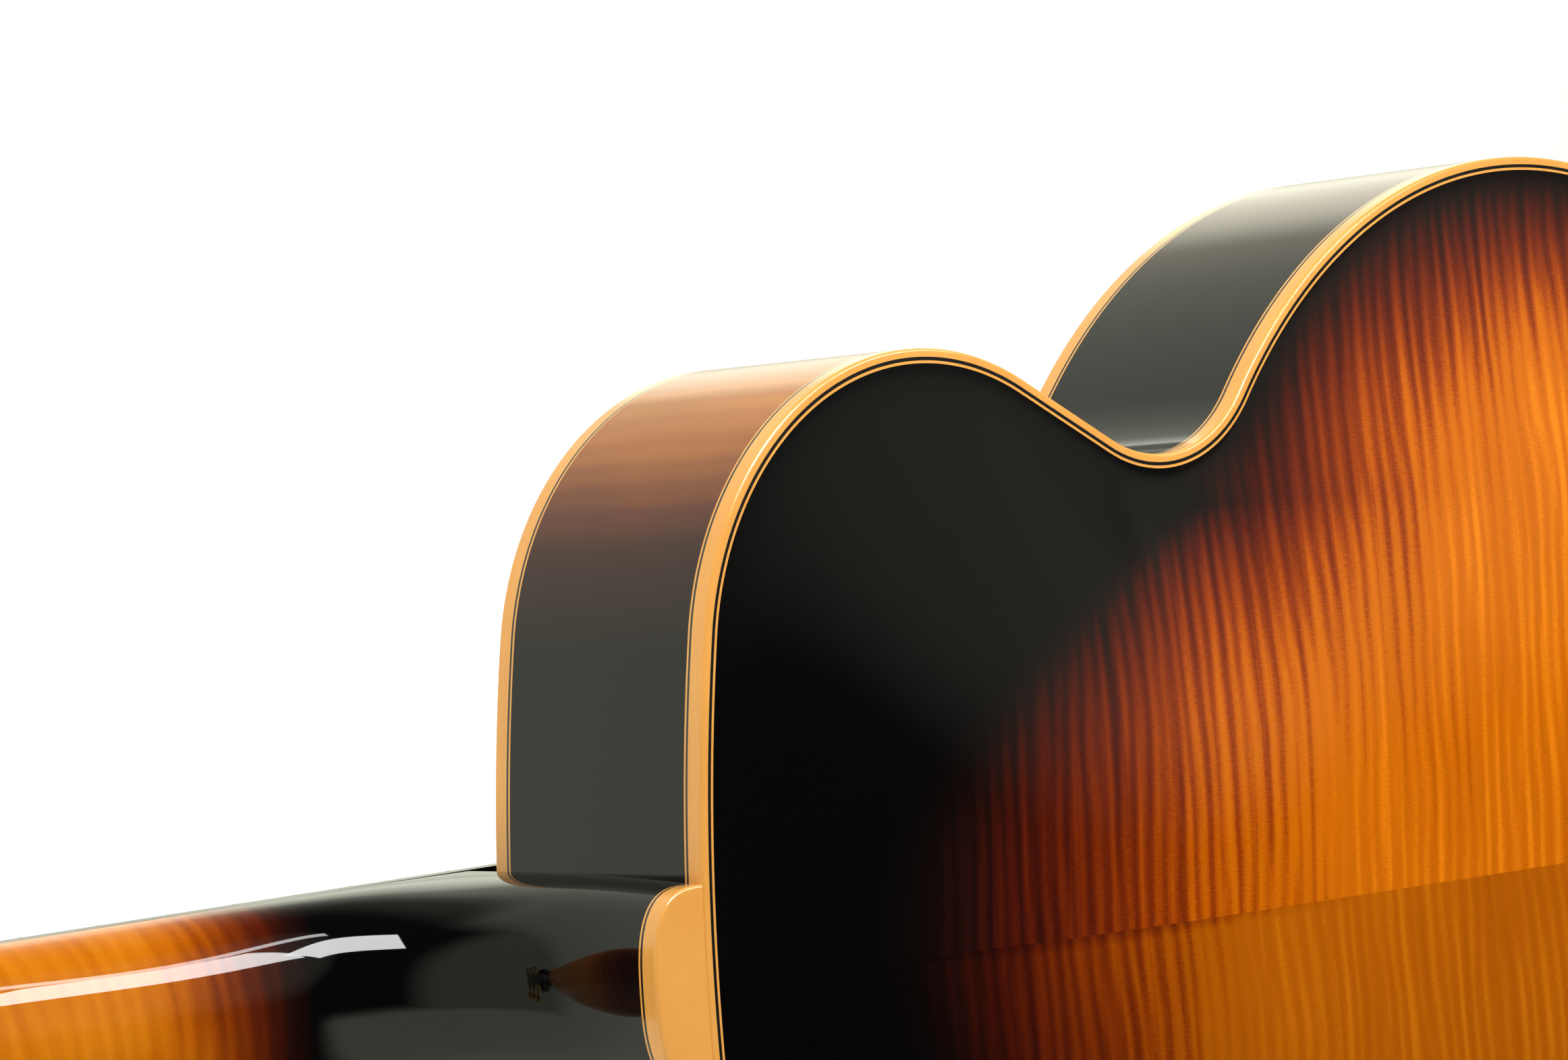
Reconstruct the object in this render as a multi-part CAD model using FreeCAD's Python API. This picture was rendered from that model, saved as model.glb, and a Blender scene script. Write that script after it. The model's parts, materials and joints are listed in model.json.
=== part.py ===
import FreeCAD, Part
import math
import os

V = FreeCAD.Vector

# An archtop guitar, upright: +Z runs up the neck, the front faces -Y, the treble side is +X.
# It is modelled from the neck end of the body's front edge, and moved at the end so that the
# origin lies at the nut. Lengths are in millimetres and angles in degrees.

# Body outline: tangent arcs from the neck end round to the tail
UPPER_BOUT = 323.2
WAIST = 259.8
LOWER_BOUT = 432.0
NECK_END_RADIUS = 580.0
UPPER_RADIUS = 85.0
WAIST_RADIUS = 43.5
LOWER_RADIUS = 174.0
TAIL_RADIUS = 342.0
WAIST_RUN = 38.35

# Body section
BODY_DEPTH = 84.0
RIB_THICK = 2.5
PLATE_EDGE = 5.2
PLATE_CENTER = 6.4
GLUE_LAND = 0.4
ARCH_HEIGHT = 20.0
ARCH_BORDER = 6.0
ARCH_ACROSS_SHARE = 2.6
ARCH_ALONG_SHARE = 4.0
ARCH_FULLNESS_SHARE = 1.6
GRID_ACROSS = 29
GRID_ALONG = 37

# Binding and its lines
BINDING_WIDTH = 2.4
BINDING_ROUND = 1.0
SIDE_BLACK = 0.8
SIDE_IVORY = 0.65
SIDE_LINE_WIDTH = 1.2
FACE_BLACK = 1.0
FACE_IVORY = 0.75
FACE_LINE_DEPTH = 1.5

# Inside the body
LINING_WIDTH = 6.0
LINING_HEIGHT = 13.0
BLOCK_GAP = 0.2
NECK_BLOCK_WIDTH = 72.0
NECK_BLOCK_DEPTH = 48.0
TAIL_BLOCK_WIDTH = 60.0
TAIL_BLOCK_DEPTH = 28.0
BLOCK_ROUND = 8.0
TONE_BAR_WIDTH = 7.0
TONE_BAR_HEIGHT = 15.0
TONE_BAR_LENGTH = 330.0
TONE_BAR_SPREAD = 74.0
TONE_BAR_GAP = 0.1

# Sound holes
F_LENGTH = 124.0
F_SPREAD = 176.0
F_UPPER_EYE = 5.2
F_LOWER_EYE = 6.6
F_PATH_SHARES = ((-0.172, 0.425), (-0.118, 0.492), (-0.048, 0.385), (0.0, 0.0),
                 (0.048, -0.385), (0.118, -0.492), (0.172, -0.425))
F_HALF_WIDTH_SHARES = (0.008, 0.012, 0.026, 0.034, 0.026, 0.012, 0.008)
F_EYE_SHARES = ((-0.195, 0.395), (0.195, -0.39))

# Neck and scale
SCALE_LENGTH = 647.7
FRET_COUNT = 20
JOINT_FRET = 14
NECK_ANGLE = 4.0
NECK_RISE = 13.5
NUT_WIDTH = 44.5
JOINT_WIDTH = 57.0
SHAFT_DEPTH_NUT = 14.5
SHAFT_DEPTH_HEEL = 18.5
SHAFT_ROUND_SHARE = 2.15
HEEL_START = 75.0
HEEL_CAP_WIDTH = 52.0
HEEL_CAP_REACH = 17.0
HEEL_CAP_ROUND = 0.9
HEEL_ROUND_SHARE = 2.8
HEEL_OVERLAP = 16.0
LOFT_DEGREE = 3
TENON_WIDTH = 28.0
TENON_DEPTH = 30.0
TENON_TOP = 9.0
TENON_HEIGHT = 60.0
TENON_GAP = 0.15
EXTENSION_WIDTH = 46.0
EXTENSION_LENGTH = 74.0
EXTENSION_DEEP = 11.0
EXTENSION_THIN = 4.0

# Fingerboard
BOARD_THICK = 6.5
BOARD_RADIUS = 305.0
BOARD_BINDING = 1.6
BOARD_TAIL = 9.0
FRET_CROWN = 1.1
MARKER_RADIUS = 3.0
MARKER_DEPTH = 1.0
MARKER_SPREAD = 24.0
MARKER_FRETS = (3, 5, 7, 9, 15, 17, 19)
OCTAVE_FRET = 12

# Nut and strings
NUT_THICK = 5.0
NUT_HEIGHT = 8.6
NUT_ACTION = 0.5
OCTAVE_ACTION = 2.2
NUT_SPREAD = 35.5
SADDLE_SPREAD = 52.0
TAIL_SPREAD = 46.0
STRING_DIAMETERS = (1.37, 1.07, 0.81, 0.61, 0.43, 0.33)
WOUND_COUNT = 4
STRING_BEND = 6.0
STRING_CLEAR = 0.1
BALL_RADIUS = 1.9
BALL_LENGTH = 3.4
BALL_CLEAR = 0.3

# Headstock
HEAD_ANGLE = 14.0
HEAD_LENGTH = 176.0
HEAD_THICK = 14.0
HEAD_FLARE = 30.0
HEAD_LOWER = 70.0
HEAD_UPPER = 80.0
HEAD_CROWN = 6.0
HEAD_CORNER = 9.0
HEAD_RUN = 40.0
OVERLAY_THICK = 1.5

# Truss rod under the fingerboard
ROD_RADIUS = 2.4
ROD_GAP = 0.1
ROD_SINK = 7.0
ROD_START = 10.0
ROD_NUT_RADIUS = 3.6
ROD_NUT_LENGTH = 11.0
ROD_NUT_STANDOFF = 6.0
ROD_THREAD_GAP = 0.06
ROD_POCKET_WIDTH = 10.0
ROD_POCKET_LENGTH = 26.0
COVER_WIDTH = 22.0
COVER_TIP = 9.0
COVER_LENGTH = 42.0
COVER_THICK = 1.8
COVER_START = 1.0
COVER_SCREW_INSET = 3.2
COVER_WAIST_SHARES = (0.35, 0.55)

# Tuners
TUNER_FIRST = 42.0
TUNER_SPACING = 41.0
TUNER_SPREAD = 50.0
POST_RADIUS = 3.0
POST_WAIST = 2.3
POST_RISE = 13.0
POST_STRING = 6.5
POST_WAIST_LENGTH = 6.0
POST_SEAT = 6.0
RUN_GAP = 0.06
BUSH_RADIUS = 5.0
BUSH_FLANGE = 7.2
BUSH_RISE = 2.0
BUSH_LENGTH = 8.0
HOUSING_WIDTH = 16.0
HOUSING_LENGTH = 24.0
HOUSING_HEIGHT = 11.0
HOUSING_ROUND = 2.5
WORM_OFFSET = 6.5
WORM_RADIUS = 2.0
WORM_SEAT = 11.0
BUTTON_GAP = 10.0
BUTTON_LENGTH = 17.0
BUTTON_WIDTH = 22.0
BUTTON_THICK = 9.0
BUTTON_ROUND = 3.6
COLLAR_RADIUS = 3.4
COLLAR_LENGTH = 4.0
LUG_RADIUS = 4.5
LUG_THICK = 2.5
LUG_REACH = 3.0
SCREW_RADIUS = 1.2
SCREW_HEAD = 2.4
SCREW_HEAD_HEIGHT = 1.2
SCREW_LENGTH = 9.0

# Bridge
BASE_HALF_LENGTH = 76.0
BASE_WIDTH = 16.0
BASE_HEIGHT = 9.5
BASE_TIP = 4.5
BASE_FLAT = 46.0
BASE_RELIEF = 44.0
BASE_RELIEF_HEIGHT = 4.0
SEAT_GAP = 0.05
STUD_SPREAD = 74.0
STUD_RADIUS = 2.0
STUD_SINK = 6.0
STUD_RISE = 12.0
WHEEL_RADIUS = 9.0
WHEEL_HEIGHT = 3.0
WHEEL_GAP = 1.2
WHEEL_EDGE = 0.5
SADDLE_HALF_LENGTH = 46.0
SADDLE_WIDTH = 10.0
SADDLE_RIDGE = 2.4
SADDLE_END = 7.0
SADDLE_RELIEF = 42.0
SADDLE_RELIEF_HEIGHT = 3.0
SADDLE_NOTCH_SHARE = 0.5
SADDLE_CLEAR = 0.09
SADDLE_WHEEL_GAP = 0.05

# Tailpiece and its bracket
TAIL_GAP = 108.0
TAIL_TOP_RISE = 32.0
TAIL_FOOT_RISE = 15.0
TAIL_FOOT_INSET = 8.0
TAIL_THICK = 8.0
TAIL_TOP_WIDTH = 78.0
TAIL_FOOT_WIDTH = 30.0
TAIL_CROWN = 7.0
TAIL_ROUND = 2.5
TAIL_WAIST_SHARES = (0.3, 0.55)
BALL_INSET = 12.0
BRACKET_WIDTH = 20.0
BRACKET_THICK = 2.0
BRACKET_LEG = 34.0
BRACKET_DROP = 60.0
BRACKET_GAP = 0.1
BRACKET_SCREW_SPREAD = 24.0
BRACKET_SCREW_RADIUS = 1.6
BRACKET_SCREW_HEAD = 3.2
BRACKET_SCREW_HEIGHT = 1.6
BRACKET_SCREW_LENGTH = 20.0
LEG_SCREW_LENGTH = 6.0
LEG_SCREW_SHARES = (0.35, 0.8)

# End pin
PIN_HEIGHT = 42.0
PIN_RADIUS = 4.0
PIN_SINK = 24.0
PIN_FLANGE = 8.0
PIN_FLANGE_THICK = 2.5
PIN_GROOVE = 4.6
PIN_GROOVE_LENGTH = 6.0
PIN_HEAD = 7.6
PIN_HEAD_LENGTH = 5.0
PIN_HEAD_ROUND = 2.0

# Pickguard
GUARD_THICK = 2.6
GUARD_RISE = 27.0
GUARD_INNER = 36.0
GUARD_WIDTH = 56.0
GUARD_TOP = 26.0
GUARD_BRIDGE_GAP = 21.0
GUARD_TAPER = 10.0
GUARD_EDGE_SHARES = ((0.42, 0.0), (0.84, 0.24), (1.0, 0.5), (0.86, 0.77), (0.4, 1.0))
GUARD_CORNER = 7.0
GUARD_ROD_RADIUS = 1.8
GUARD_ROD_BEND = 6.0
GUARD_ROD_INSET = 26.0
GUARD_ROD_OUT = 5.0
GUARD_ROD_DROP = 26.0
GUARD_FOOT = 9.0
GUARD_FOOT_LENGTH = 8.0
GUARD_FOOT_GAP = 0.3
GUARD_LUG = 9.0
GUARD_LUG_THICK = 5.0

# One overrun serves every cut
OVERRUN = 12.0
FUZZ = 0.00001


# Small helpers
def box(x0, x1, y0, y1, z0, z1):
    return Part.makeBox(x1 - x0, y1 - y0, z1 - z0, V(x0, y0, z0))


def rod(radius, start, end):
    return Part.makeCylinder(radius, (end - start).Length, start, end - start)


def polygon_face(points):
    return Part.Face(Part.makePolygon(points + [points[0]]))


def placed(shape, place):
    moved = shape.copy()
    moved.Placement = place.multiply(shape.Placement)
    return moved


def spline(points, start=None, end=None):
    curve = Part.BSplineCurve()
    if start is None:
        curve.interpolate(points)
    else:
        curve.interpolate(Points=points, InitialTangent=start, FinalTangent=end)
    return curve.toShape()


def mix(first, last, share):
    return first + (last - first) * share


def front(shape):
    """A piece of the back, mirrored to the front of the body."""
    return shape.mirror(V(0, BODY_DEPTH / 2, 0), V(0, 1, 0))


def solid_of(shape):
    """The one solid of a boolean result, with its split faces joined."""
    whole = shape.removeSplitter()
    return whole.Solids[0] if len(whole.Solids) == 1 else whole


def bent_wire(points, radius):
    """Straight runs through the points, with a tangent arc at each inner corner."""
    edges = []
    last = points[0]
    for corner, after in zip(points[1:-1], points[2:]):
        back = (last - corner).normalize()
        ahead = (after - corner).normalize()
        half_turn = (math.pi - back.getAngle(ahead)) / 2
        reach = radius * math.tan(half_turn)
        first = corner + back * reach
        second = corner + ahead * reach
        inward = (back + ahead).normalize()
        middle = corner + inward * (radius / math.cos(half_turn) - radius)
        edges.append(Part.LineSegment(last, first).toShape())
        edges.append(Part.Arc(first, middle, second).toShape())
        last = second
    edges.append(Part.LineSegment(last, points[-1]).toShape())
    return Part.Wire(edges)


def tube(points, bend, radius):
    path = bent_wire(points, bend)
    section = Part.Wire(Part.makeCircle(radius, points[0], points[1] - points[0]))
    return path.makePipeShell([section], True, False)


# Body outline
def outline_centres():
    """Centres of the five arcs of the treble half, in X and Z."""
    c1 = V(0, 0, -NECK_END_RADIUS)
    x2 = UPPER_BOUT / 2 - UPPER_RADIUS
    c2 = V(x2, 0, c1.z + math.sqrt((NECK_END_RADIUS - UPPER_RADIUS) ** 2 - x2 ** 2))
    x3 = WAIST / 2 + WAIST_RADIUS
    reach = math.hypot(UPPER_RADIUS + WAIST_RADIUS, WAIST_RUN)
    c3 = V(x3, 0, c2.z - math.sqrt(reach ** 2 - (x3 - x2) ** 2))
    x4 = LOWER_BOUT / 2 - LOWER_RADIUS
    c4 = V(x4, 0, c3.z - math.sqrt((WAIST_RADIUS + LOWER_RADIUS) ** 2 - (x3 - x4) ** 2))
    c5 = V(0, 0, c4.z + math.sqrt((TAIL_RADIUS - LOWER_RADIUS) ** 2 - x4 ** 2))
    return c1, c2, c3, c4, c5


CENTRES = outline_centres()
BODY_LENGTH = TAIL_RADIUS - CENTRES[4].z


def unit(start, end):
    return (end - start).normalize()


def run_normal():
    """Direction from the upper arc's centre square to the straight run at the waist."""
    c2, c3 = CENTRES[1], CENTRES[2]
    along = unit(c2, c3)
    turn = math.acos((UPPER_RADIUS + WAIST_RADIUS) / (c3 - c2).Length)
    angle = math.atan2(along.z, along.x) + turn
    return V(math.cos(angle), 0, math.sin(angle))


def round_arc(centre, first, last):
    radius = (first - centre).Length
    middle = centre + ((first - centre) + (last - centre)).normalize() * radius
    return Part.Arc(first, middle, last).toShape()


def outline(inset):
    """The closed outline, drawn in from the body's edge by the inset."""
    c1, c2, c3, c4, c5 = CENTRES
    normal = run_normal()
    r1 = NECK_END_RADIUS - inset
    r2 = UPPER_RADIUS - inset
    r3 = WAIST_RADIUS + inset
    r5 = TAIL_RADIUS - inset
    top = c1 + V(0, 0, r1)
    shoulder = c1 + unit(c1, c2) * r1
    run_start = c2 + normal * r2
    run_end = c3 - normal * r3
    hip = c3 + unit(c3, c4) * r3
    seat = c5 + unit(c5, c4) * r5
    tail = c5 - V(0, 0, r5)
    edges = [round_arc(c1, top, shoulder), round_arc(c2, shoulder, run_start),
             Part.LineSegment(run_start, run_end).toShape(), round_arc(c3, run_end, hip),
             round_arc(c4, hip, seat), round_arc(c5, seat, tail)]
    mirrored = [edge.mirror(V(0, 0, 0), V(1, 0, 0)) for edge in edges]
    return Part.Wire(Part.__sortEdges__(edges + mirrored))


def prism(inset, y0, y1):
    face = Part.Face(outline(inset))
    face.translate(V(0, y0, 0))
    return face.extrude(V(0, y1 - y0, 0))


def ring(outer_inset, inner_inset, y0, y1):
    return prism(outer_inset, y0, y1).cut(prism(inner_inset, y0 - OVERRUN, y1 + OVERRUN))


def half(shape, side):
    """The bass (-1) or treble (+1) half of a piece of the body."""
    reach = LOWER_BOUT
    low = 0 if side > 0 else -reach
    space = box(low, low + reach, -reach, reach, -BODY_LENGTH - reach, reach)
    return solid_of(shape.common(space))


# Levels through the body, from the front edge plane to the back one
GLUE_BACK = BODY_DEPTH - PLATE_EDGE
BLACK_BACK = GLUE_BACK - SIDE_BLACK
IVORY_BACK = BLACK_BACK - SIDE_IVORY
GLUE_FRONT = PLATE_EDGE
IVORY_FRONT = BODY_DEPTH - IVORY_BACK


# Arching
PLAN = Part.Face(outline(0))


def half_width(z):
    """Half the body's width at a height."""
    return Part.makeLine(V(0, 0, z), V(LOWER_BOUT, 0, z)).common(PLAN).Length


def rise_beside(x, z, width):
    """Height of the arched face over the edge plane, where the body has a half width."""
    inside = width - ARCH_BORDER
    along = abs(z + BODY_LENGTH / 2) / (BODY_LENGTH / 2 - ARCH_BORDER)
    if abs(x) >= inside or along >= 1:
        return 0.0
    across = abs(x) / inside
    swell = (1 - across ** ARCH_ACROSS_SHARE) * (1 - along ** ARCH_ALONG_SHARE)
    return ARCH_HEIGHT * swell ** ARCH_FULLNESS_SHARE


def rise(x, z):
    return rise_beside(x, z, half_width(z))


def arch_grid():
    """Rows of points over the whole body, one row for each height."""
    wide = LOWER_BOUT / 2 + OVERRUN
    rows = []
    for j in range(GRID_ALONG):
        z = mix(OVERRUN, -BODY_LENGTH - OVERRUN, j / (GRID_ALONG - 1))
        width = half_width(z)
        row = []
        for i in range(GRID_ACROSS):
            x = mix(-wide, wide, i / (GRID_ACROSS - 1))
            row.append((x, rise_beside(x, z, width), z))
        rows.append(row)
    return rows


ARCH_GRID = arch_grid()


def space_under(level, steepness, depth):
    """What lies inside the arched face that starts at a level of the back."""
    points = [[V(x, level + steepness * height, z) for x, height, z in row] for row in ARCH_GRID]
    surface = Part.BSplineSurface()
    surface.interpolate(points)
    return surface.toShape().extrude(V(0, -depth, 0))


INNER_LEVEL = GLUE_BACK - GLUE_LAND
INNER_STEEPNESS = (ARCH_HEIGHT + PLATE_EDGE + GLUE_LAND - PLATE_CENTER) / ARCH_HEIGHT
UNDER_OUTER = space_under(BODY_DEPTH, 1, BODY_DEPTH)
UNDER_INNER = space_under(INNER_LEVEL, INNER_STEEPNESS, BODY_DEPTH)
LINES_INSET = BINDING_WIDTH + FACE_BLACK + FACE_IVORY


def arched_plate():
    blank = prism(BINDING_WIDTH, GLUE_BACK, BODY_DEPTH + ARCH_HEIGHT + OVERRUN)
    plate = blank.common(UNDER_OUTER).cut(UNDER_INNER)
    rabbet = ring(-OVERRUN, LINES_INSET, BODY_DEPTH - FACE_LINE_DEPTH, BODY_DEPTH + OVERRUN)
    return plate.cut(rabbet)


def sound_hole():
    """One f-shaped hole on the treble side, as the solid that cuts it."""
    centre = V(F_SPREAD / 2, 0, SADDLE_SPOT.z)
    path = [centre + V(u, 0, v) * F_LENGTH for u, v in F_PATH_SHARES]
    one_side = []
    other_side = []
    for i, spot in enumerate(path):
        along = path[min(i + 1, len(path) - 1)] - path[max(i - 1, 0)]
        across = V(along.z, 0, -along.x).normalize() * F_HALF_WIDTH_SHARES[i] * F_LENGTH
        one_side.append(spot + across)
        other_side.append(spot - across)
    other_side.reverse()
    edges = [spline(one_side), Part.LineSegment(one_side[-1], other_side[0]).toShape(),
             spline(other_side), Part.LineSegment(other_side[-1], one_side[0]).toShape()]
    through = V(0, -BODY_DEPTH, 0)
    stem = Part.Face(Part.Wire(edges))
    stem.translate(V(0, GLUE_FRONT, 0))
    hole = stem.extrude(through)
    for (u, v), radius in zip(F_EYE_SHARES, (F_UPPER_EYE, F_LOWER_EYE)):
        spot = centre + V(u, 0, v) * F_LENGTH + V(0, GLUE_FRONT, 0)
        hole = hole.fuse(rod(radius, spot, spot + through))
    return hole


def binding_ring():
    """The back's binding: a strip round the edge with its outer corner rounded."""
    strip = ring(0, BINDING_WIDTH, GLUE_BACK, BODY_DEPTH)
    rim_edges = []
    for face in strip.Faces:
        if abs(face.CenterOfMass.y - BODY_DEPTH) < FUZZ:
            rim_edges = face.OuterWire.Edges
    return strip.makeFillet(BINDING_ROUND, rim_edges)


# The neck's own frame: its glue plane is y = 0, with the back at +y and the nut end at +z
NECK_FRAME = FreeCAD.Placement(V(0, -NECK_RISE, 0), FreeCAD.Rotation(V(1, 0, 0), -NECK_ANGLE))


def fret_distance(fret):
    """Distance from the nut to a fret."""
    return SCALE_LENGTH * (1 - 2 ** (-fret / 12))


NUT_AT = fret_distance(JOINT_FRET)
BOARD_END = NUT_AT - fret_distance(FRET_COUNT) - BOARD_TAIL
HEAD_FRAME = NECK_FRAME.multiply(
    FreeCAD.Placement(V(0, 0, NUT_AT + NUT_THICK), FreeCAD.Rotation(V(1, 0, 0), -HEAD_ANGLE)))
ORIGIN = NECK_FRAME.multVec(V(0, 0, NUT_AT))


def board_half_width(along):
    """Half width of the neck and fingerboard at a place along the neck."""
    return mix(JOINT_WIDTH, NUT_WIDTH, along / NUT_AT) / 2


def glue_plane(z):
    """Level of the neck's glue plane at a height in the body's frame."""
    return -NECK_RISE + z * math.tan(math.radians(NECK_ANGLE))


# Strings: places of each string's bends, in the body's frame
def string_shares():
    count = len(STRING_DIAMETERS)
    return [i / (count - 1) - 0.5 for i in range(count)]


def string_height(along, x):
    """A string's underside in the neck's frame, over the rounded fingerboard."""
    at_nut = FRET_CROWN + NUT_ACTION
    at_octave = FRET_CROWN + OCTAVE_ACTION
    lift = mix(at_nut, at_octave, (NUT_AT - along) / fret_distance(OCTAVE_FRET))
    drop = BOARD_RADIUS - math.sqrt(BOARD_RADIUS ** 2 - x ** 2)
    return -(BOARD_THICK + lift) + drop


SADDLE_ALONG = NUT_AT - SCALE_LENGTH
SADDLE_SPOT = NECK_FRAME.multVec(V(0, string_height(SADDLE_ALONG, 0), SADDLE_ALONG))

# The tailpiece's own frame: its front face is y = 0, its top edge is z = 0
TAIL_TOP = V(0, -TAIL_TOP_RISE, SADDLE_SPOT.z - TAIL_GAP)
TAIL_FOOT = V(0, -TAIL_FOOT_RISE, -BODY_LENGTH + TAIL_FOOT_INSET)
TAIL_LEAN = math.degrees(math.atan2(TAIL_FOOT.y - TAIL_TOP.y, TAIL_TOP.z - TAIL_FOOT.z))
TAIL_LENGTH = (TAIL_TOP - TAIL_FOOT).Length
TAIL_FRAME = FreeCAD.Placement(TAIL_TOP, FreeCAD.Rotation(V(1, 0, 0), TAIL_LEAN))


def tuner_spots():
    """Post places in the headstock's frame, from the lowest string to the highest."""
    bass = [V(-TUNER_SPREAD / 2, 0, TUNER_FIRST + TUNER_SPACING * i) for i in range(3)]
    treble = [V(TUNER_SPREAD / 2, 0, TUNER_FIRST + TUNER_SPACING * i) for i in (2, 1, 0)]
    return bass + treble


def string_path(index):
    """Ball end, saddle, nut and post of one string, as its centre line's corners."""
    share = string_shares()[index]
    radius = STRING_DIAMETERS[index] / 2
    ball = TAIL_FRAME.multVec(V(share * TAIL_SPREAD, TAIL_THICK / 2, -BALL_INSET))
    saddle_x = share * SADDLE_SPREAD
    saddle = NECK_FRAME.multVec(V(saddle_x, string_height(SADDLE_ALONG, saddle_x) - radius, SADDLE_ALONG))
    nut_x = share * NUT_SPREAD
    nut_along = NUT_AT + NUT_THICK / 2
    nut = NECK_FRAME.multVec(V(nut_x, string_height(nut_along, nut_x) - radius, nut_along))
    spot = tuner_spots()[index]
    post = HEAD_FRAME.multVec(V(spot.x, -OVERLAY_THICK - POST_STRING, spot.z))
    return [ball, saddle, nut, post]


def make_string(index, extra):
    """A string with its ball end, or with extra radius the room that it needs."""
    wire = tube(string_path(index), STRING_BEND, STRING_DIAMETERS[index] / 2 + extra)
    if extra:
        return wire
    ball = string_path(index)[0]
    turn = TAIL_FRAME.Rotation.multVec(V(0, BALL_LENGTH / 2, 0))
    return solid_of(wire.fuse(rod(BALL_RADIUS, ball - turn, ball + turn)))


STRING_COUNT = len(STRING_DIAMETERS)
STRING_ROOM = Part.makeCompound([make_string(i, STRING_CLEAR) for i in range(STRING_COUNT)])


# Neck: D-shaped sections from the headstock down to the heel cap
def d_section(origin, apex, half_width, roundness, overlap):
    """A D-shaped wire: straight sides up to the origin, then a rounded back to the apex."""
    inward = (apex - origin).normalize()
    depth = (apex - origin).Length
    points = [origin + V(-half_width, 0, 0) - inward * overlap]
    for step in range(13):
        angle = math.pi * step / 12
        across = -math.copysign(abs(math.cos(angle)) ** (2 / roundness), math.cos(angle))
        deep = math.sin(angle) ** (2 / roundness) if 0 < step < 12 else 0.0
        points.append(origin + V(across * half_width, 0, 0) + inward * deep * depth)
    points.append(origin + V(half_width, 0, 0) - inward * overlap)
    back = spline(points, inward, inward * -1)
    return Part.Wire([back, Part.LineSegment(points[-1], points[0]).toShape()])


def shaft_sections():
    """Sections square to Z, from behind the nut to where the heel begins."""
    head_end = ORIGIN.z + HEAD_RUN
    wires = []
    for share in (0.0, 0.25, 0.5, 0.75):
        z = mix(head_end, HEEL_START, share)
        origin = V(0, glue_plane(z), z)
        depth = mix(SHAFT_DEPTH_NUT, SHAFT_DEPTH_HEEL, share)
        width = board_half_width(min(z, ORIGIN.z))
        wires.append(d_section(origin, origin + V(0, depth, 0), width, SHAFT_ROUND_SHARE, HEEL_OVERLAP))
    return wires


def heel_sections():
    """Sections that fan round from the shaft to the heel cap's plane."""
    plane = glue_plane(HEEL_START)
    wires = []
    for step in range(7):
        turn = math.radians(90 * step / 6)
        sweep = 1 - math.cos(turn)
        climb = 1 - math.sin(turn)
        apex_y = mix(plane + SHAFT_DEPTH_HEEL, IVORY_BACK, sweep)
        apex = V(0, apex_y, mix(HEEL_CAP_REACH, HEEL_START, climb))
        origin = V(0, mix(plane, IVORY_BACK, sweep ** 2), HEEL_START * climb ** 2)
        width = mix(board_half_width(HEEL_START * climb), HEEL_CAP_WIDTH / 2, sweep)
        roundness = mix(SHAFT_ROUND_SHARE, HEEL_ROUND_SHARE, step / 6)
        wires.append(d_section(origin, apex, width, roundness, HEEL_OVERLAP))
    return wires


def head_outline():
    """The headstock's face in its own frame: flared sides and a low arched top."""
    corner = V(HEAD_UPPER / 2, 0, HEAD_LENGTH - HEAD_CROWN)
    start = V(NUT_WIDTH / 2, 0, 0)
    flare_end = V(HEAD_LOWER / 2, 0, HEAD_FLARE)
    edges = [spline([start, flare_end], V(0, 0, 1), corner - flare_end),
             Part.LineSegment(flare_end, corner).toShape()]
    mirrored = [edge.mirror(V(0, 0, 0), V(1, 0, 0)) for edge in edges]
    crown = Part.Arc(corner, V(0, 0, HEAD_LENGTH), V(-corner.x, 0, corner.z)).toShape()
    foot = Part.LineSegment(V(-start.x, 0, 0), start).toShape()
    return Part.Face(Part.Wire(Part.__sortEdges__(edges + [crown] + mirrored + [foot])))


def head_plate(y0, y1):
    face = head_outline()
    face.translate(V(0, y0, 0))
    plate = face.extrude(V(0, y1 - y0, 0))
    corners = [edge for edge in plate.Edges
               if abs(edge.BoundBox.ZMin - HEAD_LENGTH + HEAD_CROWN) < FUZZ and edge.BoundBox.ZLength < FUZZ]
    return placed(plate.makeFillet(HEAD_CORNER, corners), HEAD_FRAME)


def neck_local(shape):
    return placed(shape, NECK_FRAME)


def tenon(gap):
    wide = TENON_WIDTH / 2 + gap
    low = TENON_TOP - gap
    high = TENON_TOP + TENON_HEIGHT + gap
    return box(-wide, wide, low, high, -TENON_DEPTH - gap, OVERRUN)


def neck_extension():
    """The wedge that carries the fingerboard's end over the front."""
    side = [V(-EXTENSION_WIDTH / 2, 0, OVERRUN), V(-EXTENSION_WIDTH / 2, 0, -EXTENSION_LENGTH),
            V(-EXTENSION_WIDTH / 2, EXTENSION_THIN, -EXTENSION_LENGTH),
            V(-EXTENSION_WIDTH / 2, EXTENSION_DEEP, 0), V(-EXTENSION_WIDTH / 2, EXTENSION_DEEP, OVERRUN)]
    return neck_local(polygon_face(side).extrude(V(EXTENSION_WIDTH, 0, 0)))


def tuner_holes():
    """Bores through the headstock for the bushings and posts."""
    bores = []
    for spot in tuner_spots():
        bore = rod(BUSH_RADIUS, spot - V(0, OVERRUN, 0), spot + V(0, HEAD_THICK + OVERRUN, 0))
        bores.append(placed(bore, HEAD_FRAME))
    return Part.makeCompound(bores)


def rod_spot(along):
    return NECK_FRAME.multVec(V(0, ROD_SINK, along))


ROD_NUT_AT = NUT_AT + NUT_THICK + ROD_NUT_STANDOFF
ROD_END = ROD_NUT_AT + ROD_NUT_LENGTH - ROD_NUT_STANDOFF / 2


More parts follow.
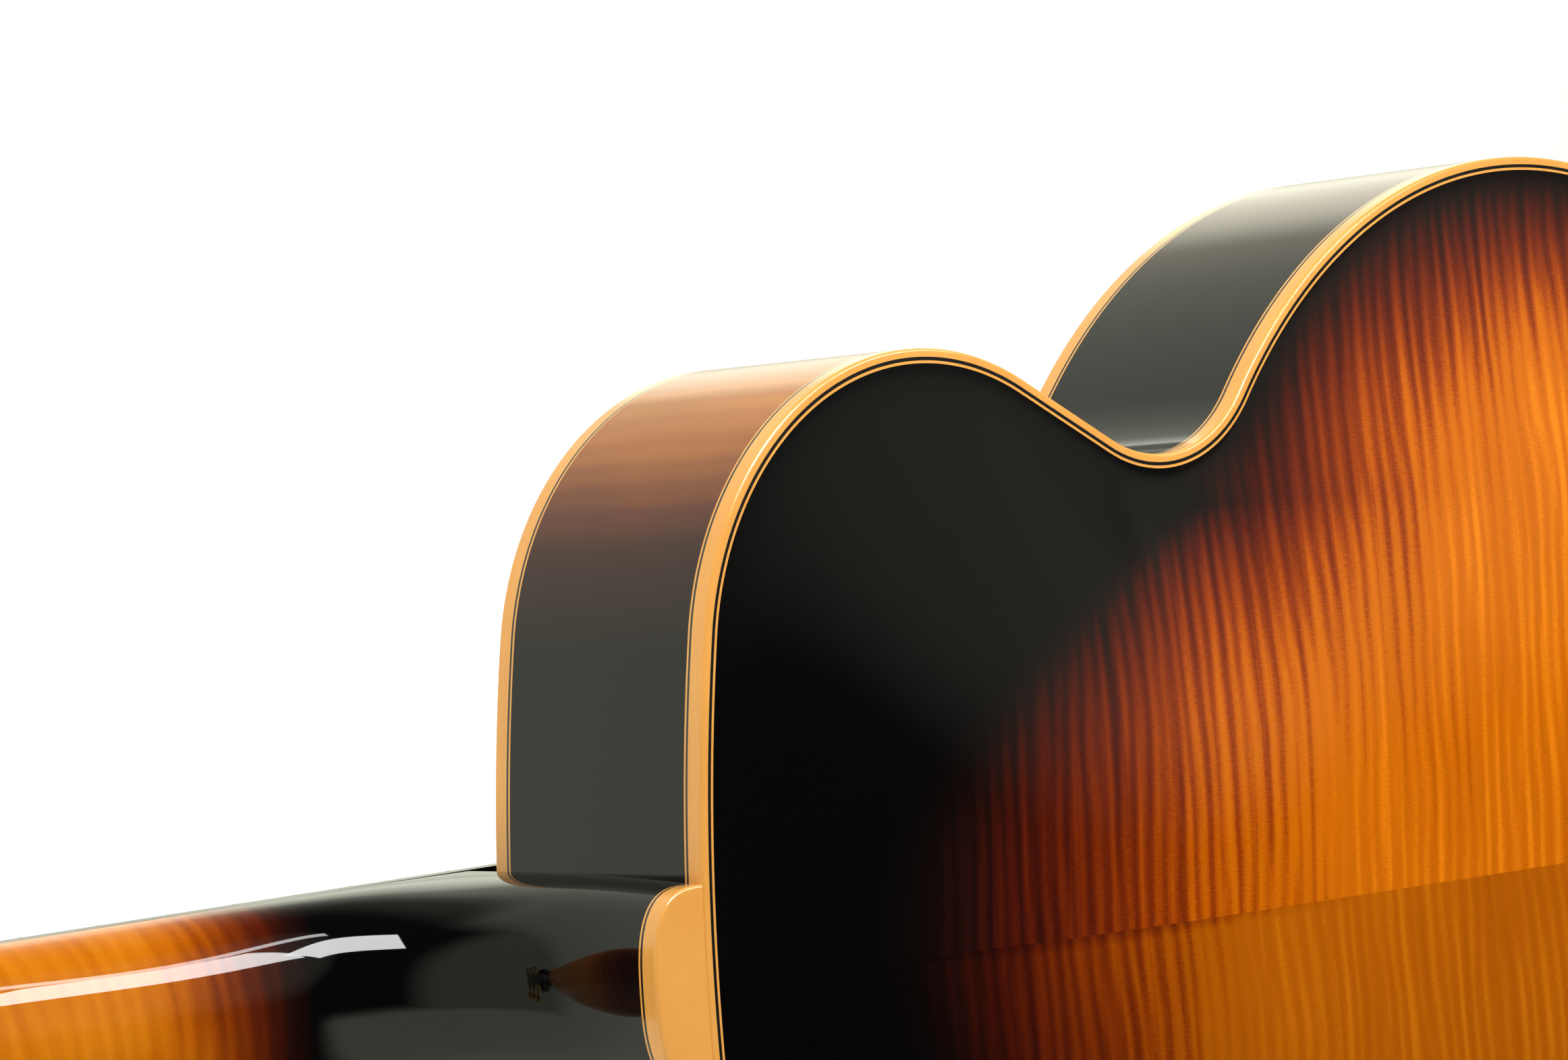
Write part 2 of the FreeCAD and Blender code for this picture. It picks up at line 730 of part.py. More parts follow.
def rod_pocket():
    """The recess behind the nut where the truss rod's nut turns."""
    wide = ROD_POCKET_WIDTH / 2
    low = NUT_AT + NUT_THICK + ROD_NUT_STANDOFF / 2
    deep = ROD_SINK + ROD_POCKET_WIDTH / 2
    return neck_local(box(-wide, wide, -BOARD_THICK, deep, low, low + ROD_POCKET_LENGTH))


def make_neck():
    blank = Part.makeLoft(shaft_sections() + heel_sections(), True, False, False, LOFT_DEGREE)
    reach = SCALE_LENGTH
    ahead = neck_local(box(-reach, reach, -reach, 0, -reach, reach))
    before_head = placed(box(-reach, reach, -reach, 0, 0, reach), HEAD_FRAME)
    body_space = prism(0, -reach, reach)
    neck = blank.cut(ahead).cut(before_head).cut(body_space)
    neck = neck.fuse(head_plate(0, HEAD_THICK)).fuse(neck_extension()).fuse(tenon(0))
    bore = rod(ROD_RADIUS + ROD_GAP, rod_spot(-ROD_START - ROD_GAP), rod_spot(ROD_END + OVERRUN))
    tools = [bore, rod_pocket(), tuner_holes(), SCREW_HOLES]
    for tool in tools:
        neck = neck.cut(tool)
    return solid_of(neck)


def heel_cap_prism(y0, y1):
    """The heel cap's outline, cut to the body's edge, between two levels."""
    origin = V(0, y0, 0)
    wire = d_section(origin, origin + V(0, 0, HEEL_CAP_REACH), HEEL_CAP_WIDTH / 2, HEEL_ROUND_SHARE,
                     HEEL_OVERLAP)
    return Part.Face(wire).extrude(V(0, y1 - y0, 0))


def heel_layer(y0, y1):
    return solid_of(heel_cap_prism(y0, y1).cut(prism(0, y0 - OVERRUN, y1 + OVERRUN)))


def make_heel_cap():
    cap = heel_cap_prism(GLUE_BACK, BODY_DEPTH)
    edges = []
    for edge in cap.Edges:
        on_top = abs(edge.BoundBox.YMin - BODY_DEPTH) < FUZZ
        if on_top and edge.BoundBox.ZMax > HEEL_CAP_REACH / 2:
            edges.append(edge)
    cap = cap.makeFillet(HEEL_CAP_ROUND, edges)
    return solid_of(cap.cut(prism(0, GLUE_BACK - OVERRUN, BODY_DEPTH + OVERRUN)))


# Fingerboard, in the neck's frame
def board_blank(inset, deep):
    low = board_half_width(BOARD_END) - inset
    high = board_half_width(NUT_AT) - inset
    corners = [V(-low, 0, BOARD_END), V(low, 0, BOARD_END), V(high, 0, NUT_AT), V(-high, 0, NUT_AT)]
    return polygon_face(corners).extrude(V(0, -deep, 0))


def board_crown(extra):
    """The round space that the fingerboard's face is part of."""
    start = V(0, BOARD_RADIUS - BOARD_THICK, BOARD_END - OVERRUN)
    return rod(BOARD_RADIUS + extra, start, start + V(0, 0, SCALE_LENGTH))


def marker_spots():
    spots = []
    for fret in MARKER_FRETS + (OCTAVE_FRET,):
        along = NUT_AT - (fret_distance(fret) + fret_distance(fret - 1)) / 2
        offsets = (-MARKER_SPREAD / 2, MARKER_SPREAD / 2) if fret == OCTAVE_FRET else (0,)
        spots += [V(offset, -BOARD_THICK, along) for offset in offsets]
    return spots


def make_markers():
    discs = [rod(MARKER_RADIUS, spot + V(0, MARKER_DEPTH, 0), spot - V(0, OVERRUN, 0))
             for spot in marker_spots()]
    return Part.makeCompound([disc.common(board_crown(0)) for disc in discs])


def make_board():
    blank = board_blank(BOARD_BINDING, BOARD_THICK + OVERRUN).common(board_crown(0))
    return solid_of(blank.cut(make_markers()))


def make_board_binding():
    strips = board_blank(0, BOARD_THICK + OVERRUN).cut(board_blank(BOARD_BINDING, BOARD_THICK + OVERRUN))
    return strips.common(board_crown(0))


def make_frets():
    crowns = []
    space = board_blank(0, BOARD_THICK + OVERRUN)
    swing = math.degrees(JOINT_WIDTH / BOARD_RADIUS)
    axis_level = BOARD_RADIUS - BOARD_THICK
    for fret in range(1, FRET_COUNT + 1):
        along = NUT_AT - fret_distance(fret)
        foot = V(0, -BOARD_THICK, along)
        rim = Part.Arc(foot - V(0, 0, FRET_CROWN), foot - V(0, FRET_CROWN, 0), foot + V(0, 0, FRET_CROWN))
        base = Part.LineSegment(foot + V(0, 0, FRET_CROWN), foot - V(0, 0, FRET_CROWN))
        profile = Part.Face(Part.Wire([rim.toShape(), base.toShape()]))
        profile.rotate(V(0, axis_level, 0), V(0, 0, 1), -swing)
        crown = profile.revolve(V(0, axis_level, 0), V(0, 0, 1), 2 * swing)
        crowns.append(crown.common(space))
    return Part.makeCompound([solid for crown in crowns for solid in crown.Solids])


def make_nut():
    wide = NUT_WIDTH / 2
    blank = box(-wide, wide, -NUT_HEIGHT, 0, NUT_AT, NUT_AT + NUT_THICK)
    nut = blank.common(board_crown(NUT_HEIGHT - BOARD_THICK))
    return solid_of(neck_local(nut).cut(STRING_ROOM))


# Headstock pieces, in the headstock's frame
def cover_face():
    wide = COVER_WIDTH / 2
    tip = COVER_TIP / 2
    high = COVER_START + COVER_LENGTH
    across, along = COVER_WAIST_SHARES
    waist = V(mix(tip, wide, across), 0, mix(COVER_START, high, along))
    side = spline([V(wide, 0, COVER_START), waist, V(tip, 0, high)])
    other = side.mirror(V(0, 0, 0), V(1, 0, 0))
    crown = Part.Arc(V(tip, 0, high), V(0, 0, high + tip), V(-tip, 0, high)).toShape()
    foot = Part.LineSegment(V(-wide, 0, COVER_START), V(wide, 0, COVER_START)).toShape()
    return Part.Face(Part.Wire(Part.__sortEdges__([side, crown, other, foot])))


def cover_screw_spots():
    low = V(0, -OVERLAY_THICK - COVER_THICK, COVER_START + COVER_LENGTH)
    beside = COVER_WIDTH / 2 - COVER_SCREW_INSET
    near = COVER_START + COVER_SCREW_INSET
    return [low, V(-beside, low.y, near), V(beside, low.y, near)]


def housing_box():
    """One tuner housing over the origin of its post, for a post on the treble side."""
    half_wide = HOUSING_WIDTH / 2
    low = -HOUSING_LENGTH / 2 + WORM_OFFSET / 2
    block = box(-half_wide, half_wide, HEAD_THICK, HEAD_THICK + HOUSING_HEIGHT, low, low + HOUSING_LENGTH)
    far = HEAD_THICK + HOUSING_HEIGHT
    edges = [edge for edge in block.Edges if abs(edge.BoundBox.YMin - far) < FUZZ]
    uprights = [edge for edge in block.Edges if edge.BoundBox.YLength > HOUSING_HEIGHT / 2]
    block = block.makeFillet(HOUSING_ROUND, edges + uprights)
    lug_spot = V(0, HEAD_THICK, low + HOUSING_LENGTH + LUG_REACH)
    lug = rod(LUG_RADIUS, lug_spot, lug_spot + V(0, LUG_THICK, 0))
    lug = lug.cut(rod(SCREW_RADIUS, lug_spot - V(0, OVERRUN, 0), lug_spot + V(0, OVERRUN, 0)))
    body = block.fuse(lug.cut(box(-LUG_RADIUS, LUG_RADIUS, HEAD_THICK, far, low, low + HOUSING_LENGTH)))
    seat_end = V(0, HEAD_THICK + POST_SEAT + RUN_GAP, 0)
    post_seat = rod(POST_RADIUS + RUN_GAP, V(0, HEAD_THICK - OVERRUN, 0), seat_end)
    worm_start = V(half_wide - WORM_SEAT - RUN_GAP, WORM_LEVEL, WORM_OFFSET)
    worm_end = V(half_wide + OVERRUN, WORM_LEVEL, WORM_OFFSET)
    worm_seat = rod(WORM_RADIUS + RUN_GAP, worm_start, worm_end)
    return solid_of(body.cut(post_seat).cut(worm_seat)), lug_spot + V(0, LUG_THICK, 0)


WORM_LEVEL = HEAD_THICK + HOUSING_HEIGHT / 2
HOUSING, LUG_SPOT = housing_box()


def tuner_piece(shape, index):
    """A piece made for a post on the treble side, at one tuner: mirrored on the bass side."""
    spot = tuner_spots()[index]
    if spot.x < 0:
        shape = shape.mirror(V(0, 0, 0), V(1, 0, 0))
    return placed(shape, HEAD_FRAME.multiply(FreeCAD.Placement(spot, FreeCAD.Rotation())))


def make_post(index):
    """A tuner post: a shaft with a waist where the string passes through it."""
    top = -OVERLAY_THICK - POST_RISE
    seat = HEAD_THICK + POST_SEAT
    waist_low = -OVERLAY_THICK - POST_STRING + POST_WAIST_LENGTH / 2
    waist_high = waist_low - POST_WAIST_LENGTH
    slope = POST_RADIUS - POST_WAIST
    profile = [V(0, seat, 0), V(POST_RADIUS, seat, 0), V(POST_RADIUS, waist_low + slope, 0),
               V(POST_WAIST, waist_low, 0), V(POST_WAIST, waist_high, 0),
               V(POST_RADIUS, waist_high - slope, 0), V(POST_RADIUS, top + slope, 0),
               V(POST_WAIST, top, 0), V(0, top, 0)]
    post = polygon_face(profile).revolve(V(0, 0, 0), V(0, 1, 0), 360)
    return solid_of(tuner_piece(post, index).cut(POST_HOLES[index]))


def post_hole(index):
    """The cross hole of a post, in line with its string."""
    nut, post = string_path(index)[2:]
    along = (post - nut).normalize() * POST_RADIUS * 2
    return rod(STRING_DIAMETERS[index] / 2 + STRING_CLEAR, post - along, post + along)


POST_HOLES = [post_hole(i) for i in range(STRING_COUNT)]


def make_button(index):
    """A tuner button with its collar and worm shaft."""
    start = HOUSING_WIDTH / 2 + BUTTON_GAP
    middle = V(start + BUTTON_LENGTH / 2, WORM_LEVEL - BUTTON_THICK / 2, WORM_OFFSET)
    rim = Part.Ellipse(V(0, 0, 0), BUTTON_WIDTH / 2, BUTTON_LENGTH / 2).toShape()
    rim.rotate(V(0, 0, 0), V(1, 0, 0), 90)
    rim.rotate(V(0, 0, 0), V(0, 1, 0), 90)
    rim.translate(middle)
    knob = Part.Face(Part.Wire(rim)).extrude(V(0, BUTTON_THICK, 0))
    knob = knob.makeFillet(BUTTON_ROUND, [edge for edge in knob.Edges if edge.BoundBox.YLength < FUZZ])
    axis = V(0, WORM_LEVEL, WORM_OFFSET)
    inner = axis + V(HOUSING_WIDTH / 2 - WORM_SEAT, 0, 0)
    shaft = rod(WORM_RADIUS, inner, axis + V(middle.x, 0, 0))
    collar_start = axis + V(start - COLLAR_LENGTH / 2, 0, 0)
    collar = rod(COLLAR_RADIUS, collar_start, axis + V(start + COLLAR_LENGTH, 0, 0))
    return tuner_piece(solid_of(knob.fuse(shaft).fuse(collar)), index)


def make_bushing(index):
    spot = tuner_spots()[index]
    face = spot - V(0, OVERLAY_THICK, 0)
    sleeve = rod(BUSH_RADIUS, face + V(0, BUSH_LENGTH, 0), face)
    flange = rod(BUSH_FLANGE, face, face - V(0, BUSH_RISE, 0))
    rim = [edge for edge in flange.Edges if abs(edge.BoundBox.YMax - face.y + BUSH_RISE) < FUZZ]
    flange = flange.makeFillet(BUSH_RISE / 2, rim)
    bore = rod(POST_RADIUS + RUN_GAP, face - V(0, OVERRUN, 0), face + V(0, OVERRUN, 0))
    return placed(solid_of(sleeve.fuse(flange).cut(bore)), HEAD_FRAME)


def screw(radius, head_radius, head_height, length):
    """A screw pointing along +Y, with the underside of its head at the origin."""
    head = rod(head_radius, V(0, -head_height, 0), V(0, 0, 0))
    rim = [edge for edge in head.Edges if abs(edge.BoundBox.YMax + head_height) < FUZZ]
    head = head.makeFillet(head_height / 2, rim)
    return solid_of(head.fuse(rod(radius, V(0, 0, 0), V(0, length, 0))))


SMALL_SCREW = screw(SCREW_RADIUS, SCREW_HEAD, SCREW_HEAD_HEIGHT, SCREW_LENGTH)


def turned(shape, axis, angle):
    return placed(shape, FreeCAD.Placement(V(0, 0, 0), FreeCAD.Rotation(axis, angle)))


def tuner_screw(index):
    back_screw = turned(SMALL_SCREW, V(1, 0, 0), 180)
    return tuner_piece(placed(back_screw, FreeCAD.Placement(LUG_SPOT, FreeCAD.Rotation())), index)


def cover_screw(spot):
    return placed(placed(SMALL_SCREW, FreeCAD.Placement(spot, FreeCAD.Rotation())), HEAD_FRAME)


TUNER_SCREWS = [tuner_screw(i) for i in range(STRING_COUNT)]
COVER_SCREWS = [cover_screw(spot) for spot in cover_screw_spots()]
SCREW_HOLES = Part.makeCompound(TUNER_SCREWS + COVER_SCREWS)


def make_overlay():
    plate = head_plate(-OVERLAY_THICK, 0)
    nut_space = neck_local(box(-NUT_WIDTH, NUT_WIDTH, -SCALE_LENGTH, SCALE_LENGTH, 0, NUT_AT + NUT_THICK))
    plate = plate.cut(nut_space)
    for tool in (tuner_holes(), rod_pocket(), SCREW_HOLES):
        plate = plate.cut(tool)
    return solid_of(plate)


def make_cover():
    face = cover_face()
    face.translate(V(0, -OVERLAY_THICK, 0))
    cover = placed(face.extrude(V(0, -COVER_THICK, 0)), HEAD_FRAME)
    nut_space = neck_local(box(-NUT_WIDTH, NUT_WIDTH, -SCALE_LENGTH, SCALE_LENGTH, 0, NUT_AT + NUT_THICK))
    return solid_of(cover.cut(nut_space).cut(SCREW_HOLES))


# Truss rod
def make_truss_rod():
    return rod(ROD_RADIUS, rod_spot(-ROD_START), rod_spot(ROD_END))


def make_truss_nut():
    """A six-sided nut on the rod's end."""
    start = V(0, ROD_SINK, ROD_NUT_AT)
    corners = []
    for step in range(6):
        angle = math.radians(60 * step)
        corners.append(start + V(math.cos(angle), math.sin(angle), 0) * ROD_NUT_RADIUS)
    hexagon = neck_local(polygon_face(corners).extrude(V(0, 0, ROD_NUT_LENGTH)))
    bore_end = rod_spot(ROD_END + ROD_THREAD_GAP)
    bore = rod(ROD_RADIUS + ROD_THREAD_GAP, rod_spot(ROD_NUT_AT - OVERRUN), bore_end)
    return hexagon.cut(bore)


# Bridge, on the front
FRONT_SPACE = front(UNDER_OUTER)
ARCH_AT_BRIDGE = rise(0, SADDLE_SPOT.z)
BASE_TOP = -ARCH_AT_BRIDGE - BASE_HEIGHT
WHEEL_TOP = BASE_TOP - WHEEL_GAP - WHEEL_HEIGHT


def stud_spots():
    return [V(side * STUD_SPREAD / 2, 0, SADDLE_SPOT.z) for side in (-1, 1)]


def make_bridge_base():
    """A foot with thin ends, hollowed in the middle and fitted to the arched front."""
    end_level = -rise(BASE_HALF_LENGTH, SADDLE_SPOT.z) - BASE_TIP
    near = SADDLE_SPOT.z - BASE_WIDTH / 2
    right = [V(BASE_FLAT, BASE_TOP, near), V(BASE_HALF_LENGTH, end_level, near), V(BASE_HALF_LENGTH, 0, near)]
    left = [V(-spot.x, spot.y, spot.z) for spot in reversed(right)]
    blank = polygon_face(left + right).extrude(V(0, 0, BASE_WIDTH))
    crown_level = -ARCH_AT_BRIDGE - BASE_RELIEF_HEIGHT
    left = V(-BASE_RELIEF / 2, 0, near - OVERRUN)
    right = V(BASE_RELIEF / 2, 0, near - OVERRUN)
    hollow_edge = Part.Arc(left, V(0, crown_level, left.z), right).toShape()
    hollow = Part.Face(Part.Wire([hollow_edge, Part.LineSegment(right, left).toShape()]))
    blank = blank.cut(hollow.extrude(V(0, 0, BASE_WIDTH + 2 * OVERRUN)))
    base = blank.cut(FRONT_SPACE.translated(V(0, -SEAT_GAP, 0)))
    for spot in stud_spots():
        start = V(spot.x, BASE_TOP - OVERRUN, spot.z)
        base = base.cut(rod(STUD_RADIUS, start, V(spot.x, BASE_TOP + STUD_SINK, spot.z)))
    return base


def make_stud(spot):
    low = V(spot.x, BASE_TOP + STUD_SINK, spot.z)
    return rod(STUD_RADIUS, low, V(spot.x, BASE_TOP - STUD_RISE, spot.z))


def make_thumbwheel(spot):
    low = V(spot.x, WHEEL_TOP + WHEEL_HEIGHT, spot.z)
    high = V(spot.x, WHEEL_TOP, spot.z)
    wheel = rod(WHEEL_RADIUS, low, high)
    rims = [edge for edge in wheel.Edges if edge.BoundBox.YLength < FUZZ]
    wheel = wheel.makeChamfer(WHEEL_EDGE, rims)
    reach = V(0, OVERRUN, 0)
    return solid_of(wheel.cut(rod(STUD_RADIUS + SADDLE_CLEAR, low + reach, high - reach)))


def saddle_crown(x):
    """Level of the saddle's top: the strings sit in notches in it."""
    radius = STRING_DIAMETERS[0] / 2
    return SADDLE_SPOT.y + BOARD_RADIUS - math.sqrt(BOARD_RADIUS ** 2 - x ** 2) - radius * SADDLE_NOTCH_SHARE


def make_saddle():
    """The top of the bridge: a ridge under the strings, standing on the two thumbwheels."""
    foot = WHEEL_TOP - SADDLE_WHEEL_GAP
    edge_x = SADDLE_SPREAD / 2 + SADDLE_END / 2
    near = SADDLE_SPOT.z - SADDLE_WIDTH / 2
    end_level = foot - SADDLE_END
    arc = Part.Arc(V(-edge_x, saddle_crown(edge_x), near), V(0, saddle_crown(0), near),
                   V(edge_x, saddle_crown(edge_x), near)).toShape()
    relief = Part.Arc(V(SADDLE_RELIEF / 2, foot, near), V(0, foot - SADDLE_RELIEF_HEIGHT, near),
                      V(-SADDLE_RELIEF / 2, foot, near)).toShape()
    right = [V(edge_x, saddle_crown(edge_x), near), V(SADDLE_HALF_LENGTH, end_level, near),
             V(SADDLE_HALF_LENGTH, foot, near), V(SADDLE_RELIEF / 2, foot, near)]
    left = [V(-spot.x, spot.y, spot.z) for spot in reversed(right)]
    lines = [Part.LineSegment(a, b).toShape() for chain in (right, left) for a, b in zip(chain, chain[1:])]
    profile = Part.Face(Part.Wire(Part.__sortEdges__([arc, relief] + lines)))
    saddle = profile.extrude(V(0, 0, SADDLE_WIDTH))
    top = saddle_crown(0)
    for side in (-1, 1):
        ridge = SADDLE_SPOT.z + side * SADDLE_RIDGE / 2
        flank = SADDLE_SPOT.z + side * SADDLE_WIDTH / 2
        bevel = polygon_face([V(-BASE_HALF_LENGTH, top, ridge), V(-BASE_HALF_LENGTH, end_level, flank),
                              V(-BASE_HALF_LENGTH, top, flank)])
        saddle = saddle.cut(bevel.extrude(V(2 * BASE_HALF_LENGTH, 0, 0)))
    for spot in stud_spots():
        start = V(spot.x, foot + OVERRUN, spot.z)
        bore_end = V(spot.x, BASE_TOP - STUD_RISE - WHEEL_GAP - STUD_RADIUS / 2, spot.z)
        saddle = saddle.cut(rod(STUD_RADIUS + SADDLE_CLEAR, start, bore_end))
    return solid_of(saddle.cut(STRING_ROOM))


# Tailpiece, in its own frame
def make_tailpiece():
    high = TAIL_TOP_WIDTH / 2
    low = TAIL_FOOT_WIDTH / 2
    across, along = TAIL_WAIST_SHARES
    waist = V(mix(low, high, across), 0, -TAIL_LENGTH * along)
    side = spline([V(high, 0, -TAIL_CROWN), waist, V(low, 0, -TAIL_LENGTH)])
    other = side.mirror(V(0, 0, 0), V(1, 0, 0))
    crown = Part.Arc(V(high, 0, -TAIL_CROWN), V(0, 0, 0), V(-high, 0, -TAIL_CROWN)).toShape()
    foot = Part.LineSegment(V(-low, 0, -TAIL_LENGTH), V(low, 0, -TAIL_LENGTH)).toShape()
    face = Part.Face(Part.Wire(Part.__sortEdges__([crown, side, foot, other])))
    plate = face.extrude(V(0, TAIL_THICK, 0))
    edges = [edge for edge in plate.Edges if edge.BoundBox.YMax < FUZZ]
    plate = placed(plate.makeFillet(TAIL_ROUND, edges), TAIL_FRAME)
    for i in range(STRING_COUNT):
        ball = string_path(i)[0]
        deep = TAIL_FRAME.Rotation.multVec(V(0, BALL_LENGTH / 2 + BALL_CLEAR, 0))
        ahead = TAIL_FRAME.Rotation.multVec(V(0, -OVERRUN, 0))
        plate = plate.cut(rod(BALL_RADIUS + BALL_CLEAR, ball + deep, ball + ahead))
    return solid_of(plate.cut(STRING_ROOM).cut(LEG_SCREWS))


BRACKET_FACE = -BODY_LENGTH - BRACKET_GAP - BRACKET_THICK


def leg_screws():
    """Two screws up through the bracket's leg into the tailpiece."""
    length = LEG_SCREW_LENGTH + BRACKET_THICK
    upright = screw(BRACKET_SCREW_RADIUS, BRACKET_SCREW_HEAD, BRACKET_SCREW_HEIGHT, length)
    up = turned(upright, V(1, 0, 0), 180)
    screws = []
    for share in LEG_SCREW_SHARES:
        spot = V(0, TAIL_THICK + BRACKET_THICK, -TAIL_LENGTH + BRACKET_LEG * share)
        screws.append(placed(placed(up, FreeCAD.Placement(spot, FreeCAD.Rotation())), TAIL_FRAME))
    return Part.makeCompound(screws)


def drop_screws():
    """Two screws through the bracket into the tail block, above and below the end pin."""
    up = turned(screw(BRACKET_SCREW_RADIUS, BRACKET_SCREW_HEAD, BRACKET_SCREW_HEIGHT, BRACKET_SCREW_LENGTH),
                V(1, 0, 0), 90)
    spots = [V(0, PIN_HEIGHT + side * BRACKET_SCREW_SPREAD / 2, BRACKET_FACE) for side in (-1, 1)]
    return Part.makeCompound([placed(up, FreeCAD.Placement(spot, FreeCAD.Rotation())) for spot in spots])


LEG_SCREWS = leg_screws()
DROP_SCREWS = drop_screws()


def make_bracket():
    """A strap from under the tailpiece, over the edge and down the tail to the end pin."""
    wide = BRACKET_WIDTH / 2
    under = TAIL_FRAME.multVec(V(0, TAIL_THICK, -TAIL_LENGTH + BRACKET_LEG))
    slope = math.tan(math.radians(TAIL_LEAN))
    bend_y = under.y + slope * (under.z - BRACKET_FACE)
    leg_back = TAIL_FRAME.Rotation.multVec(V(0, BRACKET_THICK, 0))
    inner_z = BRACKET_FACE + BRACKET_THICK
    inner_y = (under + leg_back).y + slope * ((under + leg_back).z - inner_z)
    side = [under, V(0, bend_y, BRACKET_FACE), V(0, BRACKET_DROP, BRACKET_FACE),
            V(0, BRACKET_DROP, inner_z), V(0, inner_y, inner_z), under + leg_back]
    strap = polygon_face([spot - V(wide, 0, 0) for spot in side]).extrude(V(BRACKET_WIDTH, 0, 0))
    bends = []
    for edge in strap.Edges:
        middle = edge.CenterOfMass
        if abs(middle.y - bend_y) < FUZZ and abs(middle.z - BRACKET_FACE) < FUZZ:
            bends.append(edge)
    strap = strap.makeFillet(BRACKET_THICK, bends)
    return solid_of(strap.cut(LEG_SCREWS).cut(DROP_SCREWS).cut(pin_shaft()))


def pin_shaft():
    start = V(0, PIN_HEIGHT, BRACKET_FACE - PIN_FLANGE_THICK)
    return rod(PIN_RADIUS, start, V(0, PIN_HEIGHT, -BODY_LENGTH + PIN_SINK))


def make_end_pin():
    """The strap button: a flange, a groove for the strap and a rounded head."""
    flange = BRACKET_FACE
    groove = flange - PIN_FLANGE_THICK
    head = groove - PIN_GROOVE_LENGTH
    end = head - PIN_HEAD_LENGTH
    knob = rod(PIN_HEAD, V(0, PIN_HEIGHT, head), V(0, PIN_HEIGHT, end))
    knob = knob.makeFillet(PIN_HEAD_ROUND, [edge for edge in knob.Edges if edge.BoundBox.ZLength < FUZZ])
    pin = knob.fuse(rod(PIN_GROOVE, V(0, PIN_HEIGHT, head), V(0, PIN_HEIGHT, groove)))
    pin = pin.fuse(rod(PIN_FLANGE, V(0, PIN_HEIGHT, groove), V(0, PIN_HEIGHT, flange)))
    return solid_of(pin.fuse(pin_shaft()))


# Pickguard on the treble side
def guard_anchor():
    """Where the pickguard's rod comes down beside the rim at the waist."""
    return V(WAIST / 2 + GUARD_ROD_OUT, -GUARD_RISE, CENTRES[2].z)


def make_guard():
    """A thin plate beside the strings, straight inside and bowed outside."""
    top = V(GUARD_INNER, -GUARD_RISE, -GUARD_TOP)
    length = -GUARD_TOP - SADDLE_SPOT.z - BASE_WIDTH / 2 - GUARD_BRIDGE_GAP
    foot = top - V(GUARD_TAPER, 0, length)
    bow = [top + V(across * GUARD_WIDTH, 0, -along * length) for across, along in GUARD_EDGE_SHARES]
    lines = [Part.LineSegment(a, b).toShape() for a, b in ((top, bow[0]), (bow[-1], foot), (foot, top))]
    plate = Part.Face(Part.Wire(Part.__sortEdges__([spline(bow)] + lines))).extrude(V(0, -GUARD_THICK, 0))
    uprights = [edge for edge in plate.Edges if edge.BoundBox.YLength > GUARD_THICK / 2]
    return plate.makeFillet(GUARD_CORNER, uprights)


def make_guard_bracket():
    """A bent rod from a lug under the pickguard to a foot on the rib."""
    anchor = guard_anchor()
    level = -GUARD_RISE + GUARD_LUG_THICK / 2
    inner = V(GUARD_INNER + GUARD_WIDTH - GUARD_ROD_INSET, level, anchor.z)
    corner = V(anchor.x, level, anchor.z)
    rod_end = V(anchor.x, GUARD_ROD_DROP, anchor.z)
    bar = tube([inner, corner, rod_end], GUARD_ROD_BEND, GUARD_ROD_RADIUS)
    lug_top = V(inner.x, -GUARD_RISE, inner.z)
    lug = rod(GUARD_LUG / 2, lug_top, lug_top + V(0, GUARD_LUG_THICK, 0))
    foot_in = V(WAIST / 2 + GUARD_FOOT_GAP, GUARD_ROD_DROP, anchor.z)
    foot = rod(GUARD_FOOT / 2, foot_in, foot_in + V(GUARD_FOOT_LENGTH, 0, 0))
    return solid_of(lug.fuse(foot).fuse(bar))


# Inner pieces of the body
def block_box(width, z0, z1):
    """Upright block between the two glue planes, with its inner edges rounded."""
    return box(-width / 2, width / 2, GLUE_FRONT, GLUE_BACK, z0, z1)


def rounded_block(block, inner_level):
    edges = [edge for edge in block.Edges
             if edge.BoundBox.YLength > BODY_DEPTH / 2 and abs(edge.BoundBox.ZMin - inner_level) < FUZZ]
    return block.makeFillet(BLOCK_ROUND, edges)


def make_neck_block():
    block = rounded_block(block_box(NECK_BLOCK_WIDTH, -NECK_BLOCK_DEPTH, OVERRUN), -NECK_BLOCK_DEPTH)
    block = block.common(prism(RIB_THICK, GLUE_FRONT, GLUE_BACK))
    return solid_of(block.cut(tenon(TENON_GAP)))


def make_tail_block():
    inner = -BODY_LENGTH + TAIL_BLOCK_DEPTH
    block = rounded_block(block_box(TAIL_BLOCK_WIDTH, -BODY_LENGTH - OVERRUN, inner), inner)
    block = block.common(prism(RIB_THICK, GLUE_FRONT, GLUE_BACK))
    return solid_of(block.cut(pin_shaft()).cut(DROP_SCREWS))


def make_back_linings():
    """Strips in the corners of ribs and back, between the two blocks."""
    strip = ring(RIB_THICK, RIB_THICK + LINING_WIDTH, GLUE_BACK - LINING_HEIGHT, GLUE_BACK)
    neck_space = block_box(NECK_BLOCK_WIDTH + 2 * BLOCK_GAP, -NECK_BLOCK_DEPTH, OVERRUN)
    tail = -BODY_LENGTH
    tail_space = block_box(TAIL_BLOCK_WIDTH + 2 * BLOCK_GAP, tail - OVERRUN, tail + TAIL_BLOCK_DEPTH)
    return strip.cut(neck_space).cut(tail_space)


